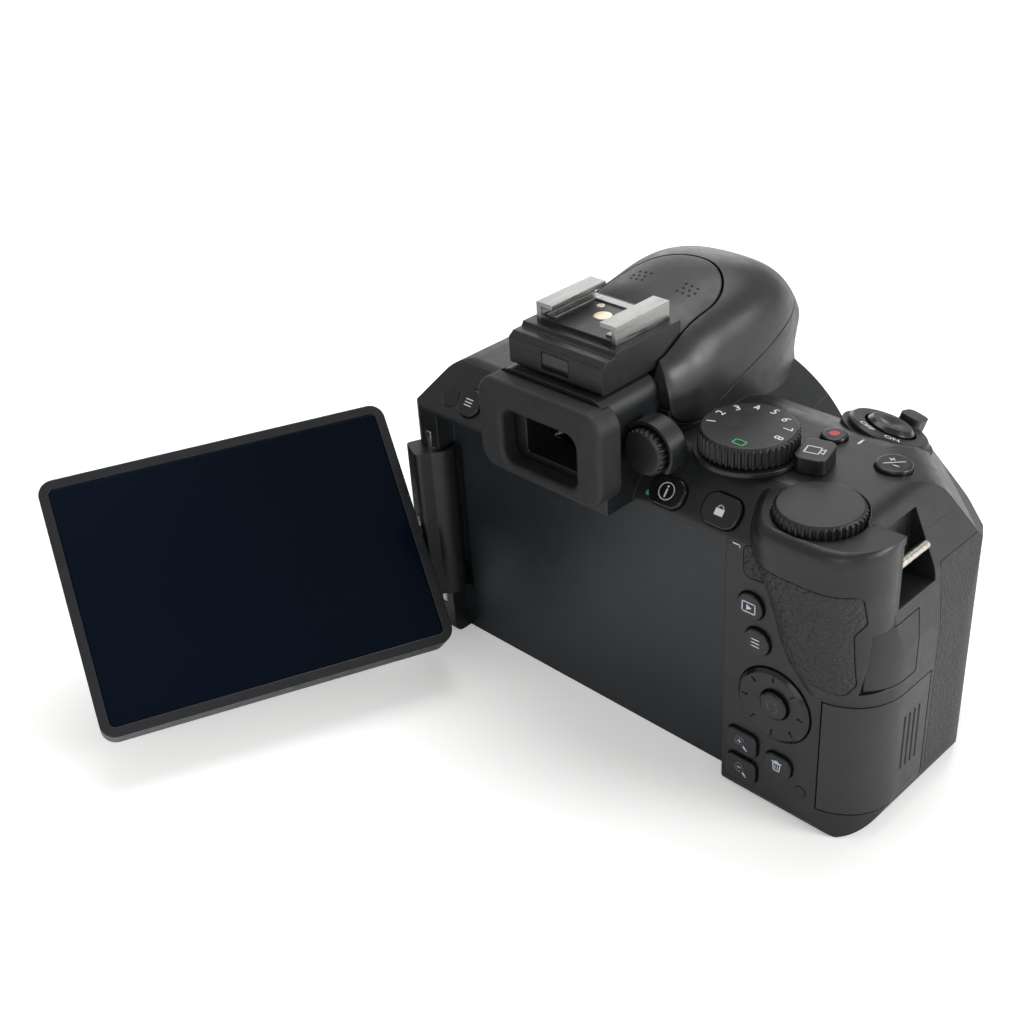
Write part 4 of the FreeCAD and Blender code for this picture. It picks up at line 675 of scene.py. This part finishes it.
# Half the floor's side in metres, and the paper's own glow in the camera's eye.
FLOOR_HALF, FLOOR_GLOW = 4.0, 0.3
# Each lamp's place and target in metres, its width in metres and its power in watts.
LAMPS = {
    "key": ((-0.2, 0.35, 1.15), (0, 0, 0.04), 0.9, 6.5),
    "side": ((1.0, 0.35, 0.42), (0, 0, 0.05), 0.6, 8),
    "rim": ((-0.75, 0.95, 0.36), (0, 0, 0.08), 0.7, 2),
    "fill": ((0.5, -1.0, 0.5), (0, 0, 0.04), 0.8, 2.2),
}


def camera():
    data = bpy.data.cameras.new("camera")
    data.lens = LENS
    data.sensor_width = FILM_WIDTH
    eye = bpy.data.objects.new("camera", data)
    bpy.context.scene.collection.objects.link(eye)
    right = CAMERA_RIGHT.normalized()
    back = right.cross(CAMERA_UP).normalized()
    up = back.cross(right)
    eye.matrix_world = Matrix((
        (right.x, up.x, back.x, CAMERA_AT.x),
        (right.y, up.y, back.y, CAMERA_AT.y),
        (right.z, up.z, back.z, CAMERA_AT.z),
        (0, 0, 0, 1)))
    bpy.context.scene.camera = eye


def background(tree, lit, seen):
    """A world colour that lights with one strength and shows with another."""
    path = tree.nodes.new("ShaderNodeLightPath")
    shown = tree.nodes.new("ShaderNodeMath")
    shown.operation = "MAXIMUM"
    tree.links.new(path.outputs["Is Camera Ray"], shown.inputs[0])
    tree.links.new(path.outputs["Is Transmission Ray"], shown.inputs[1])
    mixed = tree.nodes.new("ShaderNodeMix")
    mixed.data_type = "FLOAT"
    mixed.inputs[2].default_value = lit
    mixed.inputs[3].default_value = seen
    tree.links.new(shown.outputs["Value"], mixed.inputs["Factor"])
    return mixed.outputs[0]


def world():
    made = bpy.data.worlds.new("studio")
    bpy.context.scene.world = made
    made.use_nodes = True
    tree = made.node_tree
    shade = tree.nodes["Background"]
    shade.inputs["Color"].default_value = (1, 1, 1, 1)
    strength = background(tree, WORLD_LIGHT, WORLD_SEEN)
    tree.links.new(strength, shade.inputs["Strength"])


def floor(level):
    data = bpy.data.meshes.new("floor")
    half = FLOOR_HALF
    corners = [(-half, -half, level), (half, -half, level),
               (half, half, level), (-half, half, level)]
    data.from_pydata(corners, [], [(0, 1, 2, 3)])
    made = bpy.data.objects.new("floor", data)
    bpy.context.scene.collection.objects.link(made)
    finish = Finish("floor_paper", (0.95, 0.945, 0.94), 0.7)
    finish.colour(finish.blend(finish.noise(300, 2), (0.93, 0.925, 0.92), (0.97, 0.965, 0.96)))
    finish.shader.inputs["Specular IOR Level"].default_value = 0.15
    lift = finish.node("ShaderNodeEmission")
    lift.inputs["Color"].default_value = (1, 0.995, 0.985, 1)
    path = finish.node("ShaderNodeLightPath")
    amount = finish.math("MULTIPLY", path.outputs["Is Camera Ray"], FLOOR_GLOW)
    finish.link(amount, lift.inputs["Strength"])
    total = finish.node("ShaderNodeAddShader")
    finish.link(finish.shader.outputs["BSDF"], total.inputs[0])
    finish.link(lift.outputs["Emission"], total.inputs[1])
    output = finish.tree.nodes["Material Output"]
    finish.link(total.outputs["Shader"], output.inputs["Surface"])
    data.materials.append(finish.material)


def lamp(name, place, target, size, watts):
    data = bpy.data.lights.new(name, "AREA")
    data.shape = "DISK"
    data.size = size
    data.energy = watts
    made = bpy.data.objects.new(name, data)
    bpy.context.scene.collection.objects.link(made)
    made.location = place
    way = Vector(target) - Vector(place)
    made.rotation_euler = way.to_track_quat("-Z", "Y").to_euler()


def studio():
    world()
    floor(CAD_BOX[0][2])
    for name, settings in LAMPS.items():
        lamp(name, *settings)
    bpy.context.scene.view_settings.view_transform = "Standard"


# ---- The scene -----------------------------------------------------------------------------

for label, material in finishes().items():
    dress(NODES[label], material)
marks()
studio()
camera()
